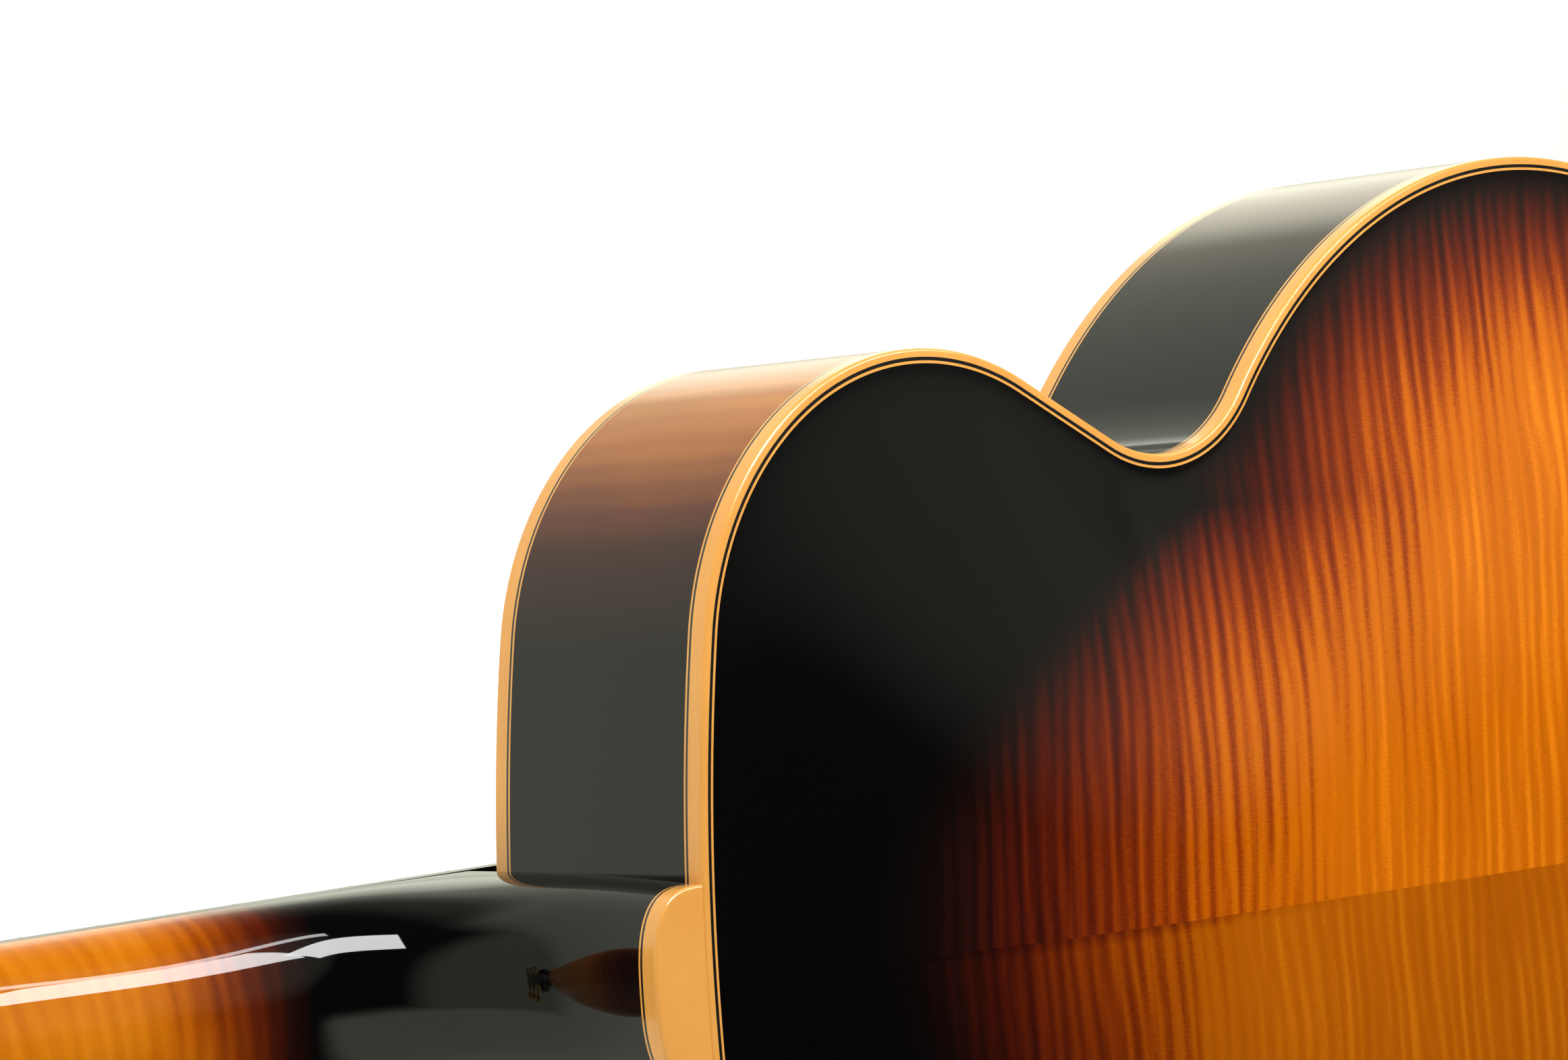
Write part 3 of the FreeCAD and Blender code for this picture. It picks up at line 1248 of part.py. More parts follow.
def make_tone_bars():
    """Two bars along the inside of the front, with bowed inner edges."""
    inner_space = front(UNDER_INNER).translated(V(0, TONE_BAR_GAP, 0))
    middle = SADDLE_SPOT.z
    crest = -ARCH_AT_BRIDGE + PLATE_CENTER
    top = middle + TONE_BAR_LENGTH / 2
    end = middle - TONE_BAR_LENGTH / 2
    bars = []
    for side in (-1, 1):
        x = side * TONE_BAR_SPREAD / 2 - TONE_BAR_WIDTH / 2
        bow = Part.Arc(V(x, crest, top), V(x, crest + TONE_BAR_HEIGHT, middle), V(x, crest, end)).toShape()
        chord = [V(x, crest, end), V(x, -BODY_DEPTH, end), V(x, -BODY_DEPTH, top), V(x, crest, top)]
        lines = [Part.LineSegment(a, b).toShape() for a, b in zip(chord, chord[1:])]
        blank = Part.Face(Part.Wire([bow] + lines)).extrude(V(TONE_BAR_WIDTH, 0, 0))
        bars.append(solid_of(blank.common(inner_space)))
    return Part.makeCompound(bars)


def make_rims():
    wall = ring(0, RIB_THICK, IVORY_FRONT, IVORY_BACK)
    wall = wall.fuse(ring(SIDE_LINE_WIDTH, RIB_THICK, GLUE_FRONT, GLUE_BACK))
    for tool in (tenon(TENON_GAP), pin_shaft(), DROP_SCREWS):
        wall = wall.cut(tool)
    return wall


def both_sides(shape):
    return [shape, front(shape)]


def make_black_lines():
    side = ring(0, SIDE_LINE_WIDTH, BLACK_BACK, GLUE_BACK)
    face = ring(BINDING_WIDTH, BINDING_WIDTH + FACE_BLACK, BODY_DEPTH - FACE_LINE_DEPTH, BODY_DEPTH)
    return Part.makeCompound(both_sides(side) + both_sides(face) + [heel_layer(BLACK_BACK, GLUE_BACK)])


def make_ivory_lines():
    side = ring(0, SIDE_LINE_WIDTH, IVORY_BACK, BLACK_BACK)
    face = ring(BINDING_WIDTH + FACE_BLACK, LINES_INSET, BODY_DEPTH - FACE_LINE_DEPTH, BODY_DEPTH)
    return Part.makeCompound(both_sides(side) + both_sides(face) + [heel_layer(IVORY_BACK, BLACK_BACK)])


# Every node of the guitar
def save(name, shape):
    moved = shape.copy()
    moved.translate(ORIGIN * -1)
    moved.exportStep("parts/" + name + ".step")


def build():
    os.makedirs("parts", exist_ok=True)
    back = arched_plate()
    hole = sound_hole()
    top = front(back).cut(hole).cut(hole.mirror(V(0, 0, 0), V(1, 0, 0)))
    rims = make_rims()
    for side, word in ((-1, "bass"), (1, "treble")):
        save("back_plate_" + word, half(back, side))
        save("top_plate_" + word, half(top, side))
        save("rim_" + word, half(rims, side))
    binding = binding_ring()
    save("back_binding", binding)
    save("top_binding", front(binding))
    save("binding_black_lines", make_black_lines())
    save("binding_ivory_lines", make_ivory_lines())
    linings = make_back_linings()
    save("back_linings", linings)
    save("top_linings", front(linings))
    save("neck_block", make_neck_block())
    save("tail_block", make_tail_block())
    save("tone_bars", make_tone_bars())

    save("neck", make_neck())
    save("heel_cap", make_heel_cap())
    save("fingerboard", neck_local(make_board()))
    save("fingerboard_binding", neck_local(make_board_binding()))
    save("frets", neck_local(make_frets()))
    save("fret_markers", neck_local(make_markers()))
    save("nut", make_nut())
    save("truss_rod", make_truss_rod())
    save("truss_rod_nut", make_truss_nut())
    save("truss_rod_cover", make_cover())
    save("headstock_overlay", make_overlay())

    save("tuner_housings", Part.makeCompound([tuner_piece(HOUSING, i) for i in range(STRING_COUNT)]))
    save("tuner_bushings", Part.makeCompound([make_bushing(i) for i in range(STRING_COUNT)]))
    save("tuner_screws", Part.makeCompound(TUNER_SCREWS))
    save("cover_screws", Part.makeCompound(COVER_SCREWS))
    for i in range(STRING_COUNT):
        save("tuner_button_" + str(i + 1), make_button(i))
        save("tuner_post_" + str(i + 1), make_post(i))

    strings = [make_string(i, 0) for i in range(STRING_COUNT)]
    save("strings_wound", Part.makeCompound(strings[:WOUND_COUNT]))
    save("strings_plain", Part.makeCompound(strings[WOUND_COUNT:]))

    save("bridge_base", make_bridge_base())
    save("bridge_saddle", make_saddle())
    save("bridge_studs", Part.makeCompound([make_stud(spot) for spot in stud_spots()]))
    save("thumbwheel_bass", make_thumbwheel(stud_spots()[0]))
    save("thumbwheel_treble", make_thumbwheel(stud_spots()[1]))
    save("tailpiece", make_tailpiece())
    save("tail_bracket", make_bracket())
    save("bracket_screws", Part.makeCompound(LEG_SCREWS.Solids + DROP_SCREWS.Solids))
    save("end_pin", make_end_pin())
    save("pickguard", make_guard())
    save("pickguard_bracket", make_guard_bracket())


build()
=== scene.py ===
import bmesh
import bpy
import json
import math
import numpy as np
from mathutils import Euler, Matrix, Vector

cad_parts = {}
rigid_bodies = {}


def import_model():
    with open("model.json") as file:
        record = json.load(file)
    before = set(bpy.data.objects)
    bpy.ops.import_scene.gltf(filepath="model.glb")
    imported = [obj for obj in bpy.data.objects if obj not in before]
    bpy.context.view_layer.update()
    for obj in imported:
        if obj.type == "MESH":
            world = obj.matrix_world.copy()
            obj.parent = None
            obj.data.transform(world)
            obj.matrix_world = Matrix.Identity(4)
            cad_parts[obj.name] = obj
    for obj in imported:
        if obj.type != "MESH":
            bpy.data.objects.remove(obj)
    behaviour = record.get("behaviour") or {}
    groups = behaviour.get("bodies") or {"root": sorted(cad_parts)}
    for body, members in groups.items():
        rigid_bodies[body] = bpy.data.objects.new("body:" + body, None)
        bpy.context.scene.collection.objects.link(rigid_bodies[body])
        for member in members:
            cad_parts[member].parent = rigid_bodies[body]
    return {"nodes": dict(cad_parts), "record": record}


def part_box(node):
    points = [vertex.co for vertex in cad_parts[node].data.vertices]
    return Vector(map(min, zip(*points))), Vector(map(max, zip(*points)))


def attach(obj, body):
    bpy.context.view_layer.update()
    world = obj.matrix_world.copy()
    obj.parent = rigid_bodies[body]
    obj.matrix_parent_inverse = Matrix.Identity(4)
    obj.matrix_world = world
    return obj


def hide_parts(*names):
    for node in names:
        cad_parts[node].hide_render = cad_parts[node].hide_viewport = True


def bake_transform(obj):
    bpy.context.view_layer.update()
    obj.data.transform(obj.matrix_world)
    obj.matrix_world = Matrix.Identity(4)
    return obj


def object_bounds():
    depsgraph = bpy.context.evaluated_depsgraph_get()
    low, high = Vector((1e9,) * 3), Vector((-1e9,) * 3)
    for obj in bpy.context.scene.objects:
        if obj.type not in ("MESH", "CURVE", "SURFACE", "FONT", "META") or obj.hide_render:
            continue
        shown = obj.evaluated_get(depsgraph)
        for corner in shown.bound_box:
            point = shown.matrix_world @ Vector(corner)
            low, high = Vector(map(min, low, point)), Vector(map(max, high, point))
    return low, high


# The looks of an archtop guitar over its CAD frame, in metres and radians: +Z runs up the neck,
# the front faces -Y and the treble side is +X. The origin lies at the nut.
for thing in list(bpy.data.objects):
    bpy.data.objects.remove(thing)
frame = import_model()
cad_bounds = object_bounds()

# Places read from the frame: the body's edge planes and its two ends
BODY_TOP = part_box("back_binding")[1].z
BODY_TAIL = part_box("back_binding")[0].z
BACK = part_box("back_binding")[1].y
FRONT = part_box("top_binding")[0].y
BODY_LENGTH = BODY_TOP - BODY_TAIL
BODY_MIDDLE = (BODY_TOP + BODY_TAIL) / 2
LOWER_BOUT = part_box("back_binding")[1].x * 2

# Body outline, as tangent arcs
UPPER_BOUT = 0.3232
WAIST = 0.2598
NECK_END_RADIUS = 0.580
UPPER_RADIUS = 0.085
WAIST_RADIUS = 0.0435
LOWER_RADIUS = 0.174
TAIL_RADIUS = 0.342
WAIST_RUN = 0.03835

# Body section
RIB_THICK = 0.0025
PLATE_EDGE = 0.0052
GLUE_LAND = 0.0004
PLATE_CENTER = 0.0064
ARCH_HEIGHT = 0.020
ARCH_BORDER = 0.006
ARCH_ACROSS_POWER = 2.6
ARCH_ALONG_POWER = 4
ARCH_FULLNESS_POWER = 1.6
BINDING_WIDTH = 0.0024
BINDING_ROUND = 0.0010
SIDE_BLACK = 0.0008
SIDE_IVORY = 0.00065
SIDE_LINE_WIDTH = 0.0012
FACE_BLACK = 0.0010
FACE_IVORY = 0.00075
FACE_LINE_DEPTH = 0.0015
TENON_HALF = 0.01415
HEEL_HALF_WIDTH = 0.026
HEEL_REACH = 0.017
HEEL_POWER = 2.8
SEAM_SHARE = 0.776

# Neck and headstock
SCALE_LENGTH = 0.6477
JOINT_FRET = 14
NECK_ANGLE = math.radians(4)
NECK_RISE = 0.0135
NUT_WIDTH = 0.0445
NUT_THICK = 0.005
JOINT_WIDTH = 0.057
SHAFT_DEPTH_NUT = 0.0145
SHAFT_DEPTH_HEEL = 0.0185
SHAFT_POWER = 2.15
SHAFT_SHARES = (0.0, 0.25, 0.5, 0.75)
HEEL_START = 0.075
HEEL_OVERLAP = 0.016
HEEL_SECTIONS = 6
HEAD_ANGLE = math.radians(14)
HEAD_LENGTH = 0.176
HEAD_THICK = 0.014
HEAD_FLARE = 0.030
HEAD_LOWER = 0.070
HEAD_UPPER = 0.080
HEAD_CROWN = 0.006
HEAD_CORNER = 0.009
HEAD_RUN = 0.040
HEAD_EDGE = 0.0015
FOOT_EDGE = 0.0105
FOOT_BLEND = 0.050
EXTENSION_WIDTH = 0.046
EXTENSION_LENGTH = 0.074
EXTENSION_DEEP = 0.011
EXTENSION_THIN = 0.004
ROD_SINK = 0.007
ROD_NUT_STANDOFF = 0.006
ROD_POCKET_WIDTH = 0.010
ROD_POCKET_LENGTH = 0.026
TUNER_FIRST = 0.042
TUNER_SPACING = 0.041
TUNER_SPREAD = 0.050
BUSH_RADIUS = 0.005
OVERLAY_THICK = 0.0015
POST_STRING = 0.0065
POST_WAIST = 0.0023
POST_WAIST_LENGTH = 0.006

# Strings, from the lowest to the highest
BOARD_THICK = 0.0065
BOARD_RADIUS = 0.305
FRET_CROWN = 0.0011
NUT_ACTION = 0.0005
OCTAVE_ACTION = 0.0022
NUT_SPREAD = 0.0355
SADDLE_SPREAD = 0.052
TAIL_SPREAD = 0.046
STRING_DIAMETERS = (0.00137, 0.00107, 0.00081, 0.00061, 0.00043, 0.00033)
STRING_COUNT = len(STRING_DIAMETERS)
WOUND_COUNT = 4
WINDING_PITCH = 0.0004
WRAP_TURNS = 3
END_TURN = 0.25
WRAP_LEAD = math.radians(12)
BALL_RADIUS = 0.0019
BALL_LENGTH = 0.0034
BALL_INSET = 0.012
TAIL_GAP = 0.108
TAIL_TOP_RISE = 0.032
TAIL_FOOT_RISE = 0.015
TAIL_FOOT_INSET = 0.008
TAIL_THICK = 0.008

# Thumbwheels
WHEEL_BORE = 0.00209
WHEEL_EDGE = 0.0005
KNURL_COUNT = 48
KNURL_DEPTH = 0.0004
KNURL_WAVE = (0.0, 0.5, 1.0, 0.5)

# Sound holes: places and half widths as shares of the length, and each eye's place and radius
F_LENGTH = 0.124
F_SPREAD = 0.176
F_PATH = ((-0.172, 0.425), (-0.118, 0.492), (-0.048, 0.385), (0.0, 0.0),
          (0.048, -0.385), (0.118, -0.492), (0.172, -0.425))
F_HALF_WIDTHS = (0.008, 0.012, 0.026, 0.034, 0.026, 0.012, 0.008)
F_EYES = ((-0.195, 0.395, 0.0052), (0.195, -0.39, 0.0066))
CUT_ABOVE = 0.060
CUT_BELOW = 0.012

# Mesh steps
EDGE_STEPS = 360
PLATE_STEPS = 64
PLATE_STEP_POWER = 1.5
RIB_STEPS = 16
ROUND_STEPS = 8
HEEL_STEPS = 48
DENSE_STEPS = 400
EDGE_SKIP = 4
SECTION_STEPS = 72
NECK_STEPS = 230
FLARE_STEPS = 16
CORNER_STEPS = 12
F_STEPS = 60
EYE_STEPS = 48
STRING_SIDES = 12
STRING_STEPS = 24
TURN_STEPS = 28
SHARP_ANGLE = math.radians(38)
TINY = 1e-6


# Mesh helpers
def mix(first, last, share):
    return first + (last - first) * share


def unit(vectors):
    return vectors / np.linalg.norm(vectors, axis=1)[:, None]


def normals_of(ahead):
    """Unit normals on the right of flat ways."""
    return unit(np.stack([ahead[:, 1], -ahead[:, 0]], 1))


def circle(steps):
    """Points round a circle of radius 1."""
    turn = np.linspace(0, 2 * math.pi, steps, endpoint=False)
    return np.stack([np.cos(turn), np.sin(turn)], 1)


def quarter_round():
    """Inset and drop of the points of a quarter round, as shares of its radius."""
    return [(1 - math.cos(turn), 1 - math.sin(turn)) for turn in np.linspace(0, math.pi / 2, ROUND_STEPS + 1)]


def half_oval(power, steps):
    """Half of a superellipse from side to side: its points' shares across and out."""
    turn = np.linspace(0, math.pi, steps + 1)
    across = -np.sign(np.cos(turn)) * np.abs(np.cos(turn)) ** (2 / power)
    return across, np.abs(np.sin(turn)) ** (2 / power)


def tube_faces(rows, start, closed):
    """Faces of a tube over rows of points, closed on itself or with a flat face at each end."""
    count, columns = rows.shape[:2]
    faces = []
    for i in range(count if closed else count - 1):
        here = start + i * columns
        there = start + (i + 1) % count * columns
        for j in range(columns):
            k = (j + 1) % columns
            faces.append((here + j, there + j, there + k, here + k))
    for end in () if closed else (0, count - 1):
        faces.append(tuple(start + end * columns + j for j in range(columns)))
    return faces


def smoothed(mesh):
    mesh.polygons.foreach_set("use_smooth", [True] * len(mesh.polygons))
    mesh.set_sharp_from_angle(angle=SHARP_ANGLE)
    return mesh


def joined(tubes, loops=()):
    """One mesh of tubes with ends and of tubes closed on themselves, each given by its rows of points."""
    spots = []
    faces = []
    for closed, group in ((False, tubes), (True, loops)):
        for rows in group:
            faces += tube_faces(rows, len(spots), closed)
            spots += rows.reshape(-1, 3).tolist()
    mesh = bpy.data.meshes.new("mesh")
    mesh.from_pydata(spots, [], faces)
    work = bmesh.new()
    work.from_mesh(mesh)
    bmesh.ops.recalc_face_normals(work, faces=work.faces)
    work.to_mesh(mesh)
    work.free()
    return smoothed(mesh)


def prism_mesh(outline, shift):
    """A flat outline carried along a shift."""
    return joined([np.stack([outline, outline + shift])])


def new_object(name, data):
    """An object put in the scene."""
    made = bpy.data.objects.new(name, data)
    bpy.context.scene.collection.objects.link(made)
    return made


def carve(mesh, tools, operation="DIFFERENCE"):
    """The mesh with the tools cut from it or joined to it."""
    work = new_object("work", mesh)
    helpers = [new_object("helper", tool) for tool in tools]
    for helper in helpers:
        step = work.modifiers.new("carve", "BOOLEAN")
        step.operation = operation
        step.solver = "EXACT"
        step.object = helper
    graph = bpy.context.evaluated_depsgraph_get()
    result = bpy.data.meshes.new_from_object(work.evaluated_get(graph))
    for thing in [work] + helpers:
        bpy.data.objects.remove(thing)
    return smoothed(result)


def smooth_rows(rows, steps):
    """Even rows on a smooth curve through the given rows: a natural cubic spline by chord length."""
    gaps = np.linalg.norm(np.diff(rows, axis=0), axis=2).mean(1)
    knots = np.concatenate([[0], np.cumsum(gaps)])
    slopes = np.diff(rows, axis=0) / gaps[:, None, None]
    count = len(rows)
    system = np.eye(count)
    right = np.zeros(rows.shape)
    for i in range(1, count - 1):
        system[i, i - 1:i + 2] = gaps[i - 1], 2 * (gaps[i - 1] + gaps[i]), gaps[i]
        right[i] = 6 * (slopes[i] - slopes[i - 1])
    bends = np.linalg.solve(system, right.reshape(count, -1)).reshape(rows.shape)
    result = []
    for place in np.linspace(0, knots[-1], steps):
        i = min(int(np.searchsorted(knots, place, side="right")) - 1, count - 2)
        after = (place - knots[i]) / gaps[i]
        before = 1 - after
        bow = (before ** 3 - before) * bends[i] + (after ** 3 - after) * bends[i + 1]
        result.append(before * rows[i] + after * rows[i + 1] + bow * gaps[i] ** 2 / 6)
    return np.stack(result)


def tube(path, radius):
    """Rows of points round a path."""
    path = np.asarray(path, float)
    ahead = unit(np.gradient(path, axis=0))
    aside = unit(np.cross(ahead, (0, 1, 0)))
    up = np.cross(aside, ahead)
    spokes = circle(STRING_SIDES)[None, :, :, None]
    return path[:, None] + radius * (spokes[:, :, 0] * aside[:, None] + spokes[:, :, 1] * up[:, None])


def set_attribute(mesh, name, values):
    attribute = mesh.attributes.new(name, "FLOAT", "POINT")
    attribute.data.foreach_set("value", np.asarray(values, np.float32).ravel())


# Shader helpers, and the usual values of a noise
NOISE_RANGE = (0.3, 0.7)
NOISE_MEAN = 0.5


def srgb(*levels):
    """A colour given by its screen levels of 0 to 255, as scene values by the sRGB curve."""
    shares = [level / 255 for level in levels]
    return tuple(c / 12.92 if c <= 0.04045 else ((c + 0.055) / 1.055) ** 2.4 for c in shares) + (1.0,)


def add_node(tree, kind, inputs=None, **settings):
    made = tree.nodes.new("ShaderNode" + kind)
    for key, value in settings.items():
        setattr(made, key, value)
    for key, value in (inputs or {}).items():
        if isinstance(value, Field):
            tree.links.new(value.socket, made.inputs[key])
        else:
            made.inputs[key].default_value = value
    return made


class Field:
    """A node's output, which varies from place to place, with the arithmetic of a number."""

    def __init__(self, node, output=0):
        self.tree = node.id_data
        self.socket = node.outputs[output]

    def calc(self, operation, other=0.0):
        return field(self.tree, "Math", {0: self, 1: other}, operation=operation)

    def __add__(self, other):
        return self.calc("ADD", other)

    def __sub__(self, other):
        return self.calc("SUBTRACT", other)

    def __mul__(self, other):
        return self.calc("MULTIPLY", other)

    def __truediv__(self, other):
        return self.calc("DIVIDE", other)

    def remap(self, limits, new_limits=(0.0, 1.0), smooth=False):
        """The value carried from one range to another, and held at its ends."""
        inputs = {"Value": self, "From Min": limits[0], "From Max": limits[1],
                  "To Min": new_limits[0], "To Max": new_limits[1]}
        kind = "SMOOTHSTEP" if smooth else "LINEAR"
        return field(self.tree, "MapRange", inputs, interpolation_type=kind)

    def ramp(self, stops):
        """The colour at the value, from (place, colour) stops."""
        made = add_node(self.tree, "ValToRGB", {"Fac": self})
        elements = made.color_ramp.elements
        while len(elements) < len(stops):
            elements.new(1.0)
        for element, (place, colour) in zip(elements, stops):
            element.position = place
            element.color = colour
        return Field(made)

    def shades(self, *colours):
        """Colours spread over the usual range of a noise."""
        return self.ramp(list(zip(np.linspace(*NOISE_RANGE, len(colours)), colours)))

    def noise(self, scale, detail=2.0, roughness=0.5):
        """Noise at a place, after a scale for each axis."""
        inputs = {"Vector": field(self.tree, "Mapping", {"Vector": self, "Scale": scale}),
                  "Scale": 1.0, "Detail": detail, "Roughness": roughness}
        return field(self.tree, "TexNoise", inputs, "Fac")

    def bump(self, strength, distance):
        inputs = {"Height": self, "Strength": strength, "Distance": distance}
        return field(self.tree, "Bump", inputs)

    def parts(self):
        """The three coordinates of a place or direction."""
        node = add_node(self.tree, "SeparateXYZ", {0: self})
        return [Field(node, axis) for axis in "XYZ"]


def field(tree, kind, inputs=None, output=0, **settings):
    return Field(add_node(tree, kind, inputs, **settings), output)


def position(tree):
    return field(tree, "TexCoord", output="Object")


def stored_fields(tree):
    """The burst's level, and the places along and across the grain, which are kept at the mesh's points."""
    names = ("burst", "along", "across")
    return [field(tree, "Attribute", output="Fac", attribute_name=name) for name in names]


def grain_place(along, across, seed):
    return field(along.tree, "CombineXYZ", {0: along, 1: across, 2: seed})


def new_material(name, **settings):
    """A material whose shader's constant sockets are set by name, and its tree."""
    material = bpy.data.materials.new(name)
    material.use_nodes = True
    shader = material.node_tree.nodes["Principled BSDF"]
    for key, value in settings.items():
        shader.inputs[key.replace("_", " ")].default_value = value
    return material, material.node_tree


def wired(material, **fields):
    """The material with fields linked to its shader's sockets by name."""
    shader = material.node_tree.nodes["Principled BSDF"]
    for key, value in fields.items():
        material.node_tree.links.new(value.socket, shader.inputs[key.replace("_", " ")])
    return material


# Sunburst colours as (burst level, screen levels), from black at the edge to amber in the middle
BURST_END = 1.5
BURST_FULL = 1.2
BACK_STOPS = ((0.0, 5, 4, 5), (0.1, 14, 6, 6), (0.17, 31, 9, 7), (0.33, 72, 18, 7), (0.5, 109, 35, 6),
              (0.67, 143, 55, 5), (0.83, 175, 80, 4), (1.0, 192, 97, 5), (1.2, 199, 101, 6),
              (1.5, 224, 124, 14))
NECK_STOPS = ((0.0, 5, 4, 5), (0.17, 34, 10, 6), (0.33, 78, 24, 7), (0.5, 118, 46, 6), (0.67, 152, 70, 6),
              (0.83, 180, 92, 7), (1.0, 193, 106, 11), (1.2, 206, 119, 18), (1.5, 224, 138, 30))
RIB_STOPS = ((0.0, 5, 4, 5), (0.2, 50, 20, 15), (0.4, 90, 42, 24), (0.7, 150, 86, 34), (1.0, 188, 118, 48),
             (1.5, 210, 140, 66))
TOP_STOPS = ((0.0, 9, 7, 8), (0.18, 52, 16, 9), (0.45, 128, 48, 10), (0.825, 190, 98, 20),
             (1.2, 222, 140, 44), (1.5, 236, 166, 76))
LACQUER = {"Roughness": 0.45, "Coat_Weight": 1.0, "Coat_Roughness": 0.03, "Coat_IOR": 1.5,
           "Specular_IOR_Level": 0.0}

# Flame of the maple: even waves that drift, and noises by waves to a stripe, scale across, detail and share
DRIFT_SCALE = (30, 12, 1)
DRIFT_TURNS = 2.0
WAVE_SHARE = 0.30
STRIPE_NOISES = ((0.9, 5, 1.0, 0.6), (2.4, 8, 2.0, 0.62))
STRIPE_LIMITS = (0.46, 1.06)
FIBRE_SCALE = (420, 1900, 1)

# How far the stripes, fibre and clouds shift the burst's level
STRIPE_BASE = 0.08
STRIPE_GAIN = 0.46
STRIPE_GATE = (0.0, 0.30)
FIBRE_GAIN = 0.45
CLOUD_GAIN = 0.5
CLOUD_SCALE = (22, 11, 1)

# The neck's burst: dark at the heel, highest in the middle of the back, and dark at the head
NECK_FLAME = 0.0064
NECK_SEED = 4.0
NECK_DEPTH = 0.45
NECK_LEAN = 0.12
NECK_CLOUD_SCALE = (40, 40, 26)
HEEL_BURST = (BODY_TOP + 0.070, BODY_TOP + 0.125)
HEEL_BURST_BOW = 11.0
HEEL_BURST_FULL = 1.08
HEAD_BURST = (-0.030, -0.110)
HEAD_BURST_FULL = 1.15

# Grain of the spruce
LINE_SCALE = (3, 900, 1)
LINE_SHARE = 0.5
RAY_SCALE = (260, 40, 1)
RAY_SHARE = 0.16
SPRUCE_GAIN = 0.9

# Layers of the ivory and pores of the ebony
LAYER_SHARE = 0.35
PORE_LIMITS = (0.60, 0.75)

# Wear of the metals
TARNISH_SCALE = (70, 70, 70)
SCRATCH_SCALE = (900, 900, 150)
POLISHED_SHARE = 0.7
WORN_SHARE = 1.5


def burst_colour(level, stops):
    return (level / BURST_END).ramp([(place / BURST_END, srgb(*levels)) for place, *levels in stops])


def flame(place, along, spacing):
    """Flame stripes of maple, 0 to 1, square to the grain, and its fine fibre."""
    turns = place.noise(DRIFT_SCALE) * DRIFT_TURNS + along / spacing
    stripes = ((turns * (2 * math.pi)).calc("SINE") * 0.5 + 0.5) * WAVE_SHARE
    for waves, across, detail, share in STRIPE_NOISES:
        stripes = stripes + place.noise((waves / spacing, across, 1), detail) * share
    return stripes.remap(STRIPE_LIMITS), place.noise(FIBRE_SCALE, detail=3.0, roughness=0.6)


def stained_colour(level, stripes, fibre, cloud, stops, depth):
    """Colour of the stained maple: the stripes, fibre and clouds shift the burst's level."""
    gain = (level * STRIPE_GAIN + STRIPE_BASE) * depth
    swing = (stripes - NOISE_MEAN) * gain * level.remap(STRIPE_GATE, smooth=True)
    grain = (fibre - NOISE_MEAN) * level * (FIBRE_GAIN * depth)
    patch = (cloud - NOISE_MEAN) * level * CLOUD_GAIN
    return burst_colour(level + swing + grain + patch, stops)


def stained_maple(name, spacing, stops, seed, depth=1.0, painted_shade=1.0):
    """Lacquered flamed maple whose burst and grain places are stored on the mesh, with painted shade that
    darkens the whole colour when its shade factor is below 1.
    """
    material, tree = new_material(name, **LACQUER)
    level, along, across = stored_fields(tree)
    place = grain_place(along, across, seed)
    stripes, fibre = flame(place, along, spacing)
    colour = stained_colour(level, stripes, fibre, place.noise(CLOUD_SCALE), stops, depth)
    # Painted shade: the whole colour is multiplied down, as if less light fell on this piece
    if painted_shade < 1:
        inputs = {0: 1.0, 6: colour, 7: (painted_shade, painted_shade, painted_shade, 1)}
        colour = field(tree, "Mix", inputs, 2, data_type="RGBA", blend_type="MULTIPLY")
    return wired(material, Base_Color=colour)


def neck_maple():
    """The neck's maple: black at the heel, amber along the shaft, dark again at the head."""
    material, tree = new_material("neck_maple", **LACQUER)
    x, _, z = position(tree).parts()
    along = z + x * NECK_LEAN
    stripes, fibre = flame(grain_place(along, x, NECK_SEED), along, NECK_FLAME)
    from_heel = (z + x * x * HEEL_BURST_BOW).remap(HEEL_BURST, (0.0, HEEL_BURST_FULL))
    level = from_heel.calc("MINIMUM", z.remap(HEAD_BURST, (0.0, HEAD_BURST_FULL)))
    cloud = position(tree).noise(NECK_CLOUD_SCALE)
    return wired(material, Base_Color=stained_colour(level, stripes, fibre, cloud, NECK_STOPS, NECK_DEPTH))


def spruce():
    """Spruce with close straight grain, under a burst that is stored on the mesh."""
    material, tree = new_material("spruce_burst", **LACQUER)
    level, along, across = stored_fields(tree)
    place = grain_place(along, across, 0.0)
    lines = place.noise(LINE_SCALE, detail=1.0)
    rays = place.noise(RAY_SCALE, detail=3.0)
    grain = (lines - NOISE_MEAN) * LINE_SHARE + (rays - NOISE_MEAN) * RAY_SHARE
    colour = burst_colour(level + grain * level * SPRUCE_GAIN, TOP_STOPS)
    return wired(material, Base_Color=colour, Normal=lines.bump(strength=0.2, distance=0.0003))


def ivory():
    """Aged ivory plastic with faint layers."""
    material, tree = new_material("aged_ivory", Roughness=0.22, Coat_Weight=0.6, Coat_Roughness=0.04,
                                  Subsurface_Weight=0.15, Subsurface_Radius=(0.002, 0.001, 0.0005))
    layers = position(tree).noise((40, 900, 40))
    clouds = position(tree).noise((30, 30, 30), detail=3.0)
    both = layers * LAYER_SHARE + clouds * (1 - LAYER_SHARE)
    return wired(material, Base_Color=both.shades(srgb(218, 149, 67), srgb(230, 164, 80)))


def ebony():
    """Close-grained dark wood, with fine pores along the neck."""
    material, tree = new_material("ebony", Roughness=0.38, Coat_Weight=0.15, Coat_Roughness=0.05)
    place = position(tree)
    colour = place.noise((500, 500, 14), detail=4.0).ramp(((0.35, srgb(14, 11, 10)), (0.7, srgb(44, 33, 28))))
    pores = place.noise((1600, 1600, 70)).remap(PORE_LIMITS)
    return wired(material, Base_Color=colour, Normal=pores.bump(strength=0.15, distance=0.0002))


